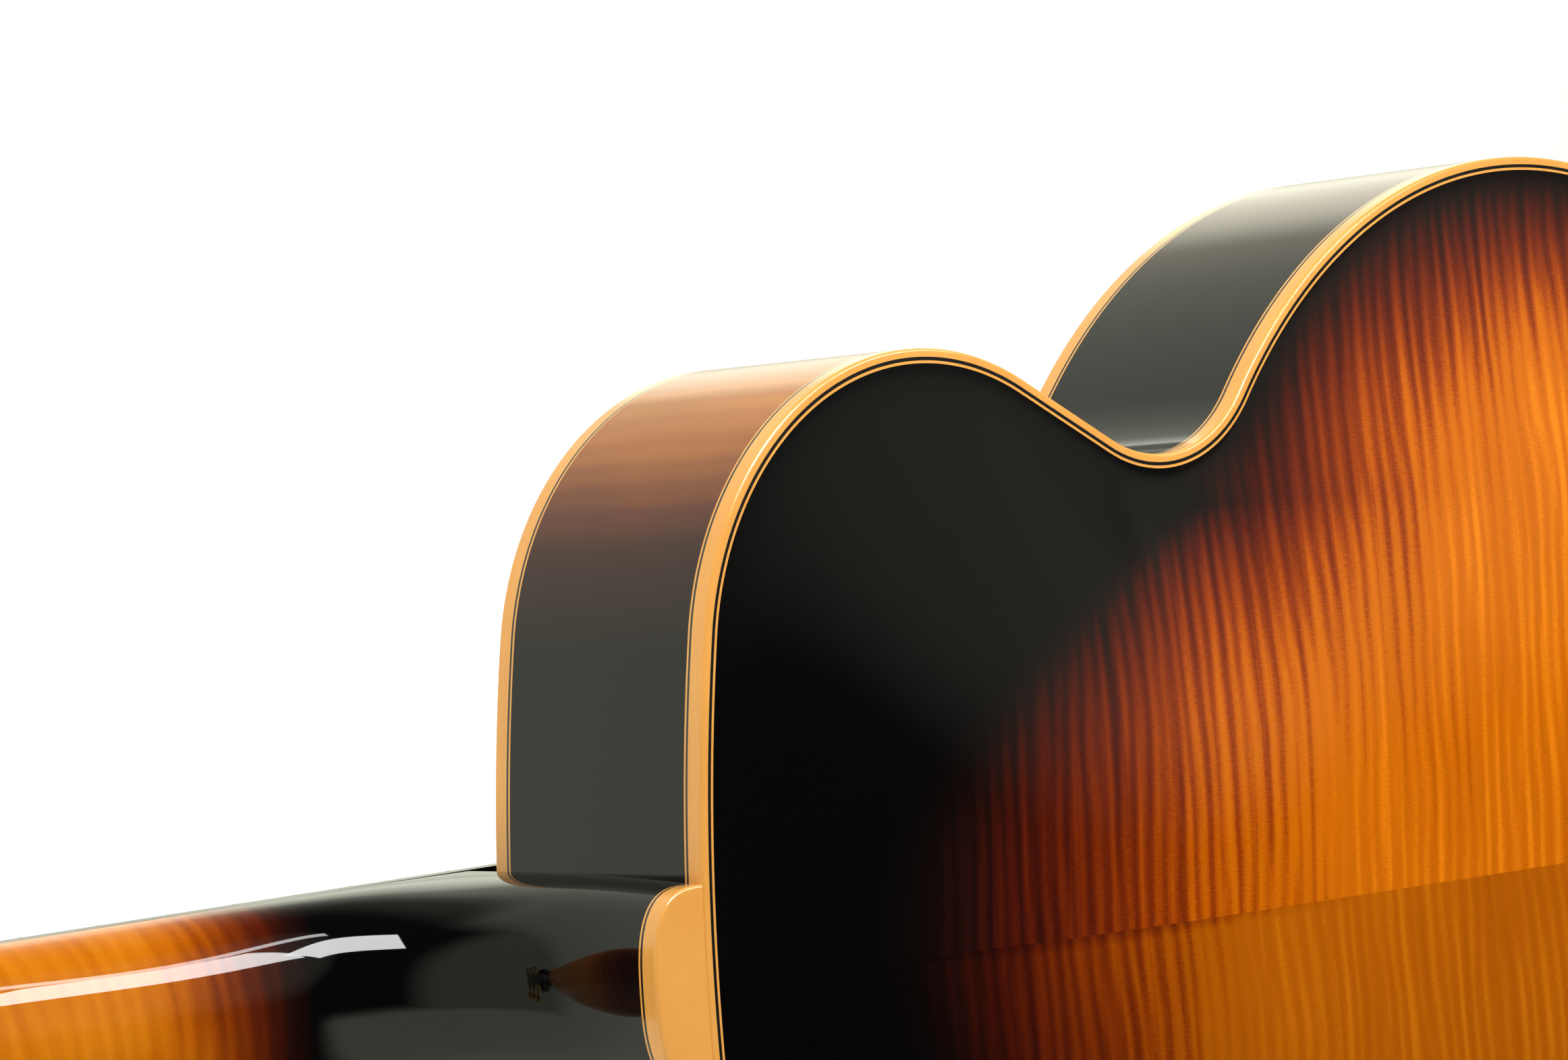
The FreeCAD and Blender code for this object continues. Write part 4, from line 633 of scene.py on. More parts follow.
def metal(name, colours, roughness, winding=None):
    """Polished metal with faint wear and tarnish, or with the close turns of a wound string."""
    material, tree = new_material(name, Metallic=1.0)
    place = position(tree)
    tarnish = place.noise(TARNISH_SCALE, detail=4.0)
    scratches = place.noise(SCRATCH_SCALE)
    both_limits = (2 * NOISE_RANGE[0], 2 * NOISE_RANGE[1])
    rough = (tarnish + scratches).remap(both_limits, (roughness * POLISHED_SHARE, roughness * WORN_SHARE))
    if winding:
        turns = (place.parts()[2] * (2 * math.pi / winding)).calc("SINE")
        relief = turns.bump(strength=0.5, distance=winding / 8)
    else:
        relief = scratches.bump(strength=0.05, distance=0.0001)
    return wired(material, Base_Color=tarnish.shades(*colours), Roughness=rough, Normal=relief)


def mottled(name, scale, colours, detail=4.0, grit=0.5, relief=None, **settings):
    """A finish whose colour, and relief if asked, follow one noise."""
    material, tree = new_material(name, **settings)
    cloud = position(tree).noise(scale, detail, grit)
    if relief:
        wired(material, Normal=cloud.bump(*relief))
    return wired(material, Base_Color=cloud.shades(*colours))


GOLD = (srgb(214, 164, 72), srgb(240, 200, 112))
STEEL = (srgb(168, 168, 170), srgb(205, 205, 206))
NICKEL = (srgb(190, 186, 176), srgb(222, 219, 210))
BRONZE = (srgb(170, 118, 66), srgb(205, 150, 92))
PEARL = (srgb(196, 206, 204), srgb(240, 236, 226), srgb(214, 196, 206))
BONE = (srgb(226, 212, 178), srgb(243, 234, 208))
PALE_WOOD = (srgb(188, 142, 92), srgb(226, 188, 138))
BLACK = (srgb(8, 7, 7), srgb(22, 19, 18))
MATERIALS = {
    "maple_neck": neck_maple(),
    "spruce_top": spruce(),
    "ivory_plastic": ivory(),
    "black_plastic": mottled("black_line", (200, 200, 200), BLACK, detail=2.0, Roughness=0.3, Coat_Weight=0.6,
                             Coat_Roughness=0.05),
    "inner_wood": mottled("inner_wood", (420, 420, 12), PALE_WOOD, relief=(0.2, 0.0002), Roughness=0.7),
    "ebony": ebony(),
    "pearl": mottled("pearl", (160, 60, 240), PEARL, grit=0.6, Roughness=0.15, Coat_Weight=0.8,
                     Coat_Roughness=0.03),
    "bone": mottled("bone", (300, 900, 900), BONE, Roughness=0.3, Coat_Weight=0.3),
    "fret_wire": metal("fret_wire", NICKEL, 0.18),
    "rod_steel": metal("rod_steel", STEEL, 0.35),
    "gold_metal": metal("gold_metal", GOLD, 0.14),
    "wound_string": metal("wound_string", BRONZE, 0.3, WINDING_PITCH),
    "plain_string": metal("plain_string", STEEL, 0.2),
}

# Maple of the body's halves: the flame's spacing and depth, and a seed for each piece of wood
BACK_FLAME = 0.0060
RIB_FLAME = 0.009
RIB_DEPTH = 0.22
# The treble half of the back is darkened by painted shade, as if the light from the bass side fell off across
# it
BACK_MAPLE = {"bass": stained_maple("back_maple_bass", BACK_FLAME, BACK_STOPS, seed=1.0),
              "treble": stained_maple("back_maple_treble_shaded", BACK_FLAME, BACK_STOPS, seed=7.0, depth=0.8,
                                      painted_shade=0.72)}
RIB_MAPLE = {word: stained_maple("rib_maple_" + word, RIB_FLAME, RIB_STOPS, seed, RIB_DEPTH)
             for word, seed in (("bass", 12.0), ("treble", 15.0))}
SIDES = {"bass": -1, "treble": 1}

# Every node whose slot has one finish takes it
for part in frame["record"]["subparts"]:
    shown = frame["nodes"][part["node"]]
    finish = MATERIALS.get(part["material_slot"])
    if finish:
        shown.data.materials.clear()
        shown.data.materials.append(finish)


def add_piece(name, mesh, slot, nodes, body="guitar", material=None):
    """A piece that stands for nodes, and rides on the body unless it is None."""
    mesh.name = name
    piece = new_object(name, mesh)
    mesh.materials.clear()
    mesh.materials.append(material or MATERIALS[slot])
    if body:
        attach(piece, body)
    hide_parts(*nodes)
    return piece


# Places in the neck's frame, from its glue plane and from the nut, and in the headstock's
def turned(y, along, angle):
    """A place in Y and Z after a turn about X."""
    c, s = math.cos(angle), math.sin(angle)
    return y * c + along * s, along * c - y * s


def neck_spot(x, y, along):
    return np.array([x, *turned(y, along, NECK_ANGLE)])


def head_spot(x, y, along):
    y, along = turned(y, along, HEAD_ANGLE)
    return neck_spot(x, y, NUT_THICK + along)


def string_level(along, x):
    """Underside of a string over the rounded fingerboard, in the neck's frame."""
    lift = FRET_CROWN + mix(NUT_ACTION, OCTAVE_ACTION, -along / (SCALE_LENGTH / 2))
    return BOARD_RADIUS - math.sqrt(BOARD_RADIUS ** 2 - x ** 2) - BOARD_THICK - lift


SADDLE_SPOT = neck_spot(0, string_level(-SCALE_LENGTH, 0), -SCALE_LENGTH)
NUT_AT = SCALE_LENGTH * (1 - 2 ** (-JOINT_FRET / 12))
TAIL_TOP = np.array([0, FRONT - TAIL_TOP_RISE, SADDLE_SPOT[2] - TAIL_GAP])
TAIL_FOOT = np.array([0, FRONT - TAIL_FOOT_RISE, BODY_TAIL + TAIL_FOOT_INSET])
TAIL_LEAN = math.atan2(TAIL_FOOT[1] - TAIL_TOP[1], TAIL_TOP[2] - TAIL_FOOT[2])


def tail_spot(x, y, along):
    return TAIL_TOP + np.array([x, *turned(y, along, -TAIL_LEAN)])


def tuner_spot(index):
    """A tuner post's place in the headstock's frame, for a string's index."""
    on_bass = index < STRING_COUNT // 2
    step = index if on_bass else STRING_COUNT - 1 - index
    return (-1 if on_bass else 1) * TUNER_SPREAD / 2, TUNER_FIRST + TUNER_SPACING * step


# Body outline
def arc(centre, radius, first, last, outward=1, steps=DENSE_STEPS):
    """Points and normals of an arc between two angles."""
    angles = np.linspace(first, last, steps)
    spokes = np.stack([np.cos(angles), np.sin(angles)], 1)
    return centre + radius * spokes, spokes * outward


def angle_of(vector):
    return math.atan2(vector[1], vector[0])


def dense_outline():
    """Close points and outward normals of the treble half, in X and Z, from the neck end to the tail."""
    c1 = np.array([0, BODY_TOP - NECK_END_RADIUS])
    x2 = UPPER_BOUT / 2 - UPPER_RADIUS
    c2 = np.array([x2, c1[1] + math.sqrt((NECK_END_RADIUS - UPPER_RADIUS) ** 2 - x2 ** 2)])
    x3 = WAIST / 2 + WAIST_RADIUS
    reach = math.hypot(UPPER_RADIUS + WAIST_RADIUS, WAIST_RUN)
    c3 = np.array([x3, c2[1] - math.sqrt(reach ** 2 - (x3 - x2) ** 2)])
    x4 = LOWER_BOUT / 2 - LOWER_RADIUS
    c4 = np.array([x4, c3[1] - math.sqrt((WAIST_RADIUS + LOWER_RADIUS) ** 2 - (x3 - x4) ** 2)])
    c5 = np.array([0, c4[1] + math.sqrt((TAIL_RADIUS - LOWER_RADIUS) ** 2 - x4 ** 2)])
    run_angle = angle_of(c3 - c2) + math.acos((UPPER_RADIUS + WAIST_RADIUS) / reach)
    normal = np.array([math.cos(run_angle), math.sin(run_angle)])
    full = 2 * math.pi
    run = np.linspace(c2 + normal * UPPER_RADIUS, c3 - normal * WAIST_RADIUS, DENSE_STEPS)
    stretches = [
        arc(c1, NECK_END_RADIUS, math.pi / 2, angle_of(c2 - c1)),
        arc(c2, UPPER_RADIUS, angle_of(c2 - c1), run_angle),
        (run, np.repeat([normal], DENSE_STEPS, 0)),
        arc(c3, WAIST_RADIUS, angle_of(-normal) % full, angle_of(c4 - c3) % full, -1),
        arc(c4, LOWER_RADIUS, angle_of(c3 - c4), angle_of(c4 - c5)),
        arc(c5, TAIL_RADIUS, angle_of(c4 - c5), -math.pi / 2),
    ]
    return [np.concatenate(group) for group in zip(*stretches)]


OUTLINE, OUTLINE_NORMALS = dense_outline()
OUTLINE_RUN = np.concatenate([[0], np.cumsum(np.linalg.norm(np.diff(OUTLINE, axis=0), axis=1))])


def half_outline(start=0.0):
    """Even steps along the treble half: points, outward normals and distances from the neck end."""
    run = np.linspace(start, OUTLINE_RUN[-1], EDGE_STEPS + 1)
    points, normals = (np.stack([np.interp(run, OUTLINE_RUN, row) for row in group.T], 1)
                       for group in (OUTLINE, OUTLINE_NORMALS))
    return points, unit(normals), run


def whole_outline():
    points, normals, _ = half_outline()
    mirror = np.array([-1, 1])
    return [np.concatenate([group, group[-2:0:-1] * mirror]) for group in (points, normals)]


def at_level(flat, level):
    """Points in X and Z set at a level in Y."""
    return np.stack([flat[:, 0], np.full(len(flat), level), flat[:, 1]], 1)


def sweep(points, normals, profile):
    """A profile of (inset, level) pairs carried along the outline, as rows of points."""
    return np.stack([at_level(points - normals * inset, level) for inset, level in profile], 1)


def to_front(profile):
    """A profile at the back, mirrored to the front of the body."""
    return [(inset, BACK + FRONT - level) for inset, level in profile]


def ring(profile):
    """Rows of a closed strip round the whole body."""
    return sweep(*whole_outline(), profile)


# Arching
def rise(x, z):
    """Height of the arched face over the edge plane."""
    half_width = np.interp(-z, -OUTLINE[:, 1], OUTLINE[:, 0])
    across = np.clip(np.abs(x) / np.maximum(half_width - ARCH_BORDER, TINY), 0, 1)
    along = np.clip(np.abs(z - BODY_MIDDLE) / (BODY_LENGTH / 2 - ARCH_BORDER), 0, 1)
    full = (1 - across ** ARCH_ACROSS_POWER) * (1 - along ** ARCH_ALONG_POWER)
    return ARCH_HEIGHT * full ** ARCH_FULLNESS_POWER


def edge_distance(x, z):
    """Distance of each point from the body's edge."""
    edge = OUTLINE[::EDGE_SKIP]
    return np.array([np.linalg.norm(spot - edge, axis=1).min() for spot in np.stack([np.abs(x), z], 1)])


# Burst of the back: its width at the edge, and the dark front at the neck end, which bows with x
EDGE_BURST = 0.063
NECK_BURST_START = 0.053
NECK_BURST_REACH = 0.115
NECK_BURST_BOW = 8.2
NECK_BURST_CURL = 150
NECK_BURST_GAIN = 6.4
NECK_BURST_GAIN_BOW = 240
TREBLE_GAIN = 1.3
BURST_JOIN_POWER = 5
BURST_LEAST = 1e-3

# Burst of the front
TOP_BURST_BORDER = 0.006
TOP_BURST_WIDTH = 0.075
TOP_BURST_FULL = 1.35
TOP_BURST_POWER = 1.3

# Burst of the ribs, as (distance from the neck end, level)
RIB_BURST = ((0.0, 0.0), (0.085, 0.0), (0.110, 0.16), (0.130, 0.42), (0.150, 0.72), (0.175, 0.95),
             (0.215, 0.45), (0.245, 0.0), (0.400, 0.0), (0.445, 0.30), (0.515, 0.60), (0.600, 0.40),
             (0.660, 0.20), (0.800, 0.10), (0.900, 0.0))


def back_burst(x, z):
    """Burst level over the back: dark round the edge and wide at the neck end."""
    from_edge = np.maximum(edge_distance(x, z) / EDGE_BURST, BURST_LEAST)
    near = np.minimum(np.abs(x), NECK_BURST_REACH)
    front = BODY_TOP - z - NECK_BURST_START - NECK_BURST_BOW * near ** 2 - NECK_BURST_CURL * near ** 4
    gain = (NECK_BURST_GAIN + NECK_BURST_GAIN_BOW * near ** 2) * np.where(x > 0, TREBLE_GAIN, 1.0)
    from_neck = np.maximum(front * gain, BURST_LEAST)
    least = (from_edge ** -BURST_JOIN_POWER + from_neck ** -BURST_JOIN_POWER) ** (-1 / BURST_JOIN_POWER)
    return np.minimum(least, BURST_FULL)


def top_burst(x, z):
    """Burst level over the front: an even dark border round a light middle."""
    from_edge = np.maximum((edge_distance(x, z) - TOP_BURST_BORDER) / TOP_BURST_WIDTH, 0)
    return TOP_BURST_FULL * (1 - np.exp(-from_edge ** TOP_BURST_POWER))


def sound_hole(side):
    """The tools that cut one f-shaped hole: its stem and its two eyes."""
    centre = np.array([F_SPREAD / 2, SADDLE_SPOT[2]])
    path = centre + F_LENGTH * np.array(F_PATH)
    ahead = np.concatenate([path[1:], path[-1:]]) - np.concatenate([path[:1], path[:-1]])
    across = normals_of(ahead) * F_LENGTH * np.array(F_HALF_WIDTHS)[:, None]
    edges = [smooth_rows(edge[:, None], F_STEPS)[:, 0] for edge in (path + across, (path - across)[::-1])]
    outlines = [np.concatenate(edges)]
    for u, v, radius in F_EYES:
        outlines.append(centre + F_LENGTH * np.array([u, v]) + radius * circle(EYE_STEPS))
    depth = np.array([0, CUT_ABOVE + CUT_BELOW, 0])
    return [prism_mesh(at_level(flat * (side, 1), FRONT - CUT_ABOVE), depth) for flat in outlines]


STRIPE_LEAN = 0.07
STRIPE_BOW = 0.33
LINES_INSET = BINDING_WIDTH + FACE_BLACK + FACE_IVORY
GLUE_BACK = BACK - PLATE_EDGE
INNER_STEEPNESS = (ARCH_HEIGHT + PLATE_EDGE + GLUE_LAND - PLATE_CENTER) / ARCH_HEIGHT
FACING_INSIDE = 0.3


def half_plate(side, at_front):
    """Half of an arched plate, from the edge lines to the seam, with its inner face."""
    points, normals, _ = half_outline()
    edge = points - normals * LINES_INSET
    seam = BODY_MIDDLE + (edge[:, 1] - BODY_MIDDLE) * SEAM_SHARE
    inward = np.linspace(0, 1, PLATE_STEPS) ** PLATE_STEP_POWER
    x = side * edge[:, :1] * (1 - inward)
    z = edge[:, 1:] + (seam[:, None] - edge[:, 1:]) * inward
    height = rise(x, z)
    outer = BACK + height
    inner = GLUE_BACK - GLUE_LAND + INNER_STEEPNESS * height
    if at_front:
        outer = BACK + FRONT - outer
        inner = BACK + FRONT - inner
    outside, inside = (np.stack([x, level, z], -1) for level in (outer, inner))
    mesh = joined([np.concatenate([outside, inside[:, ::-1]], 1)])
    if at_front:
        mesh = carve(mesh, sound_hole(side))
    places = np.empty(len(mesh.vertices) * 3, np.float32)
    mesh.vertices.foreach_get("co", places)
    x, _, z = places.reshape(-1, 3).T
    burst = top_burst if at_front else back_burst
    set_attribute(mesh, "burst", burst(x, z))
    set_attribute(mesh, "along", z + STRIPE_LEAN * np.abs(x) + STRIPE_BOW * (ARCH_HEIGHT - rise(x, z)))
    set_attribute(mesh, "across", x)
    return mesh


def bare_inside(piece, at_front):
    """Gives the faces that look into the body the bare wood of the inside."""
    mesh = piece.data
    mesh.materials.append(MATERIALS["inner_wood"])
    normals = np.empty(len(mesh.polygons) * 3, np.float32)
    mesh.polygons.foreach_get("normal", normals)
    inward = normals.reshape(-1, 3)[:, 1] * (1 if at_front else -1) > FACING_INSIDE
    mesh.polygons.foreach_set("material_index", inward.astype(np.int32))


def half_rib(side):
    """One bent rib between the two side lines, with its thickness."""
    start = np.interp(TENON_HALF, OUTLINE[:DENSE_STEPS, 0], OUTLINE_RUN[:DENSE_STEPS])
    points, normals, run = half_outline(start)
    side_lines = PLATE_EDGE + SIDE_BLACK + SIDE_IVORY
    levels = np.linspace(FRONT + side_lines, BACK - side_lines, RIB_STEPS)
    profile = [(0.0, level) for level in levels] + [(RIB_THICK, level) for level in levels[::-1]]
    mirror = np.array([side, 1])
    grid = sweep(points * mirror, normals * mirror, profile)
    mesh = joined([grid])
    set_attribute(mesh, "burst", np.repeat(np.interp(run, *zip(*RIB_BURST)), len(profile)))
    set_attribute(mesh, "along", np.repeat(run, len(profile)))
    set_attribute(mesh, "across", grid[:, :, 1])
    return mesh


def strip(outer, inner, low, high):
    return [(outer, low), (outer, high), (inner, high), (inner, low)]


def binding_profile():
    """The back binding's section with its rounded outer corner."""
    rounded = [(BINDING_ROUND * inset, BACK - BINDING_ROUND * drop) for inset, drop in quarter_round()]
    return [(BINDING_WIDTH, GLUE_BACK), (0.0, GLUE_BACK)] + rounded + [(BINDING_WIDTH, BACK)]


def heel_layer(low, high):
    """Rows of a thin layer of the heel cap's outline, between two levels."""
    across, out = half_oval(HEEL_POWER, HEEL_STEPS)
    x = HEEL_HALF_WIDTH * across
    edge = BODY_TOP - NECK_END_RADIUS + np.sqrt(NECK_END_RADIUS ** 2 - x ** 2)
    outer = np.stack([x, BODY_TOP + HEEL_REACH * out], 1)
    outline = np.concatenate([outer, np.stack([x, edge], 1)[::-1]])
    return np.stack([at_level(outline, level) for level in (low, high)])


def line_mesh(profiles, low, high):
    """Strips at the back and front of the body, and the matching layer of the heel cap."""
    loops = [ring(profile) for profile in profiles + [to_front(profile) for profile in profiles]]
    return joined([heel_layer(low, high)], loops)


BLACK_BACK = GLUE_BACK - SIDE_BLACK
IVORY_BACK = BLACK_BACK - SIDE_IVORY
FACE_LINE_LOW = BACK - FACE_LINE_DEPTH
BLACK_INSET = BINDING_WIDTH + FACE_BLACK
BLACK_PROFILES = [strip(0.0, SIDE_LINE_WIDTH, BLACK_BACK, GLUE_BACK),
                  strip(BINDING_WIDTH, BLACK_INSET, FACE_LINE_LOW, BACK)]
IVORY_PROFILES = [strip(0.0, SIDE_LINE_WIDTH, IVORY_BACK, BLACK_BACK),
                  strip(BLACK_INSET, LINES_INSET, FACE_LINE_LOW, BACK)]

for word, side in SIDES.items():
    back = add_piece("arched_back_" + word, half_plate(side, False), "maple_back", ["back_plate_" + word],
                     material=BACK_MAPLE[word])
    bare_inside(back, False)
    add_piece("bent_rib_" + word, half_rib(side), "maple_rim", ["rim_" + word], material=RIB_MAPLE[word])
add_piece("edge_binding_back", joined([], [ring(binding_profile())]), "ivory_plastic", ["back_binding"])
add_piece("edge_binding_front", joined([], [ring(to_front(binding_profile()))]), "ivory_plastic",
          ["top_binding"])
add_piece("black_lines", line_mesh(BLACK_PROFILES, BLACK_BACK, GLUE_BACK), "black_plastic",
          ["binding_black_lines"])
add_piece("ivory_lines", line_mesh(IVORY_PROFILES, IVORY_BACK, BLACK_BACK), "ivory_plastic",
          ["binding_ivory_lines"])
for word, side in SIDES.items():
    top = add_piece("arched_top_" + word, half_plate(side, True), "spruce_top", ["top_plate_" + word])
    bare_inside(top, True)


# Neck: D-shaped sections down the shaft and round the heel, then the headstock
def d_section(origin, apex, half_wide, power):
    """A D-shaped row of points: a straight side, a rounded back and the other straight side."""
    inward = apex - origin
    depth = np.linalg.norm(inward)
    across, out = half_oval(power, SECTION_STEPS)
    across = half_wide * np.concatenate([[-1], across, [1]])
    deep = np.concatenate([[-HEEL_OVERLAP], out * depth, [-HEEL_OVERLAP]])
    return origin + np.array([1, 0, 0]) * across[:, None] + inward / depth * deep[:, None]


def shaft_half_width(up):
    """Half width of the neck at a height over the body."""
    return mix(JOINT_WIDTH, NUT_WIDTH, up / NUT_AT) / 2


def glue_level(up):
    return FRONT - NECK_RISE + up * math.tan(NECK_ANGLE)


def neck_sections():
    """Sections from the head down the shaft, then turning by a quarter round the heel to its cap."""
    sections = []
    for share in SHAFT_SHARES:
        up = mix(HEAD_RUN - BODY_TOP, HEEL_START, share)
        origin = np.array([0, glue_level(up), BODY_TOP + up])
        depth = np.array([0, mix(SHAFT_DEPTH_NUT, SHAFT_DEPTH_HEEL, share), 0])
        sections.append(d_section(origin, origin + depth, shaft_half_width(min(up, -BODY_TOP)), SHAFT_POWER))
    level = glue_level(HEEL_START)
    for share in np.linspace(0, 1, HEEL_SECTIONS + 1):
        fall = 1 - math.cos(math.pi / 2 * share)
        climb = 1 - math.sin(math.pi / 2 * share)
        apex = np.array([0, mix(level + SHAFT_DEPTH_HEEL, IVORY_BACK, fall),
                         BODY_TOP + mix(HEEL_REACH, HEEL_START, climb)])
        up = HEEL_START * climb ** 2
        origin = np.array([0, mix(level, IVORY_BACK, fall ** 2), BODY_TOP + up])
        half_wide = mix(shaft_half_width(up), HEEL_HALF_WIDTH, fall ** 4)
        sections.append(d_section(origin, apex, half_wide, mix(SHAFT_POWER, HEEL_POWER, share)))
    return np.stack(sections)


def box_mesh(spot, x, y, along):
    """A box between limits in one of the neck's frames."""
    corners = ((y[0], along[0]), (y[1], along[0]), (y[1], along[1]), (y[0], along[1]))
    return prism_mesh(np.stack([spot(x[0], *corner) for corner in corners]), np.array([x[1] - x[0], 0, 0]))


def head_outline():
    """The headstock's outline in its own frame, from the nut's treble end round to its bass end."""
    flare_end = np.array([HEAD_LOWER / 2, HEAD_FLARE])
    corner = np.array([HEAD_UPPER / 2, HEAD_LENGTH - HEAD_CROWN])
    ahead = (corner - flare_end) / np.linalg.norm(corner - flare_end)
    t = np.linspace(0, 1, FLARE_STEPS)[:, None]
    start = np.array([NUT_WIDTH / 2, 0])
    pull = HEAD_FLARE * np.array([[0, 1], ahead])
    flare = ((2 * t ** 3 - 3 * t ** 2 + 1) * start + (t ** 3 - 2 * t ** 2 + t) * pull[0]
             + (3 * t ** 2 - 2 * t ** 3) * flare_end + (t ** 3 - t ** 2) * pull[1])
    radius = (corner[0] ** 2 + HEAD_CROWN ** 2) / (2 * HEAD_CROWN)
    middle = np.array([0, HEAD_LENGTH - radius])
    base = flare_end + HEAD_CORNER * np.array([-ahead[1], ahead[0]]) - middle
    reach = -base @ ahead + math.sqrt((base @ ahead) ** 2 - base @ base + (radius - HEAD_CORNER) ** 2)
    centre = middle + base + ahead * reach
    first = angle_of(np.array([ahead[1], -ahead[0]]))
    last = angle_of(centre - middle)
    corner_arc, _ = arc(centre, HEAD_CORNER, first, last, steps=CORNER_STEPS)
    crown, _ = arc(middle, radius, last, math.pi / 2, steps=CORNER_STEPS)
    half = np.concatenate([flare, corner_arc, crown[1:]])
    return np.concatenate([half, half[-2::-1] * np.array([-1, 1])])


def head_mesh():
    """The headstock with its back edge rounded, softly where it grows out of the shaft."""
    flat = head_outline()
    outward = normals_of(np.gradient(flat, axis=0))
    outward[[0, -1]] = (1, 0), (-1, 0)
    share = np.clip(flat[:, 1] / FOOT_BLEND, 0, 1)
    edge = mix(FOOT_EDGE, HEAD_EDGE, share ** 2 * (3 - 2 * share))
    rows = [[head_spot(x, 0, z) for x, z in flat]]
    for inset, drop in quarter_round():
        moved = flat - outward * (edge * inset)[:, None]
        rows.append([head_spot(x, y, z) for (x, z), y in zip(moved, HEAD_THICK - edge * drop)])
    return joined([np.array(rows)])


def neck_mesh():
    """The shaft and heel, cut off at the fingerboard and the body, with the head, extension and bores."""
    blank = joined([smooth_rows(neck_sections(), NECK_STEPS)])
    around = at_level(whole_outline()[0], FRONT - CUT_ABOVE)
    body_space = prism_mesh(around, np.array([0, BACK - FRONT + 2 * CUT_ABOVE, 0]))
    far = SCALE_LENGTH
    shaft = carve(blank, [box_mesh(neck_spot, (-far, far), (-far, 0), (-far, far)),
                          box_mesh(head_spot, (-far, far), (-far, 0), (0, far)), body_space])
    joint = -NUT_AT
    tip = joint - EXTENSION_LENGTH
    wedge = ((0, joint + HEEL_OVERLAP), (0, tip), (EXTENSION_THIN, tip), (EXTENSION_DEEP, joint),
             (EXTENSION_DEEP, joint + HEEL_OVERLAP))
    side = np.stack([neck_spot(-EXTENSION_WIDTH / 2, *corner) for corner in wedge])
    extension = prism_mesh(side, np.array([EXTENSION_WIDTH, 0, 0]))
    whole = carve(shaft, [head_mesh(), extension], "UNION")
    wide = ROD_POCKET_WIDTH / 2
    low = NUT_THICK + ROD_NUT_STANDOFF / 2
    pocket_depth = (-BOARD_THICK, ROD_SINK + wide)
    tools = [box_mesh(neck_spot, (-wide, wide), pocket_depth, (low, low + ROD_POCKET_LENGTH))]
    through = head_spot(0, 3 * HEAD_THICK, 0) - head_spot(0, 0, 0)
    for index in range(STRING_COUNT):
        bore = tuner_spot(index) + BUSH_RADIUS * circle(EYE_STEPS)
        tools.append(prism_mesh(np.stack([head_spot(x, -HEAD_THICK, z) for x, z in bore]), through))
    return carve(whole, tools)


add_piece("carved_neck", neck_mesh(), "maple_neck", ["neck"])


# Strings: lengths that follow the saddle, lengths at the head, and turns round the posts
def string_corners(index):
    """Ball end, saddle and nut of one string."""
    share = index / (STRING_COUNT - 1) - 0.5
    radius = STRING_DIAMETERS[index] / 2
    saddle_x = share * SADDLE_SPREAD
    nut_x = share * NUT_SPREAD
    return [tail_spot(share * TAIL_SPREAD, TAIL_THICK / 2, -BALL_INSET),
            neck_spot(saddle_x, string_level(-SCALE_LENGTH, saddle_x) - radius, -SCALE_LENGTH),
            neck_spot(nut_x, string_level(NUT_THICK / 2, nut_x) - radius, NUT_THICK / 2)]


def in_head(spot):
    """A place's coordinates in the headstock's frame."""
    origin = head_spot(0, 0, 0)
    return [(head_spot(*axis) - origin) @ (spot - origin) for axis in np.eye(3)]


def wrap_path(index, nut):
    """Where a string from the nut meets its post, and its turns up the post into the hole for its end."""
    x, z = tuner_spot(index)
    size = STRING_DIAMETERS[index]
    radius = POST_WAIST + size / 2
    across, _, along = in_head(nut)
    way = 1 if x < 0 else -1
    opening = math.acos(radius / math.hypot(across - x, along - z))
    first = math.atan2(along - z, across - x) + way * opening
    room = math.floor((POST_WAIST_LENGTH - size) / (2 * size) - END_TURN)
    turns = min(WRAP_TURNS, room) + END_TURN
    hole = -OVERLAY_THICK - POST_STRING

    def around(turn):
        angle = first + way * turn
        level = hole + size * (turns - max(turn, 0) / (2 * math.pi))
        return head_spot(x + radius * math.cos(angle), level, z + radius * math.sin(angle))

    steps = np.linspace(-WRAP_LEAD, 2 * math.pi * turns, TURN_STEPS * WRAP_TURNS)
    return around(0), np.stack([around(turn) for turn in steps] + [head_spot(x, hole, z)])


def add_strings(word, numbers):
    """The strings of one kind: their turns by post, and their three lengths together."""
    slot = word + "_string"
    nodes = ["strings_" + word]
    after, main, head = [], [], []
    half_ball = tail_spot(0, BALL_LENGTH / 2, 0) - tail_spot(0, 0, 0)
    for index in numbers:
        ball, saddle, nut = string_corners(index)
        arrival, turns = wrap_path(index, nut)
        radius = STRING_DIAMETERS[index] / 2
        after.append(tube(np.linspace(ball, saddle, STRING_STEPS), radius))
        main.append(tube(np.linspace(saddle, nut, STRING_STEPS), radius))
        head.append(tube(np.linspace(nut, arrival, STRING_STEPS), radius))
        after.append(tube([ball - half_ball, ball, ball + half_ball], BALL_RADIUS))
        number = index + 1
        add_piece("string_turns_%d" % number, joined([tube(turns, radius)]), slot, nodes, "post_%d" % number)
    add_piece("string_heads_" + word, joined(head), slot, nodes)
    lengths = add_piece("string_lengths_" + word, joined(main), slot, nodes, None)
    tails = add_piece("string_tails_" + word, joined(after), slot, nodes, None)
    ball, saddle, nut = (tuple(corner) for corner in string_corners(numbers[0]))
    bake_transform(lengths)
    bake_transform(tails)


add_strings("wound", range(WOUND_COUNT))
add_strings("plain", range(WOUND_COUNT, STRING_COUNT))


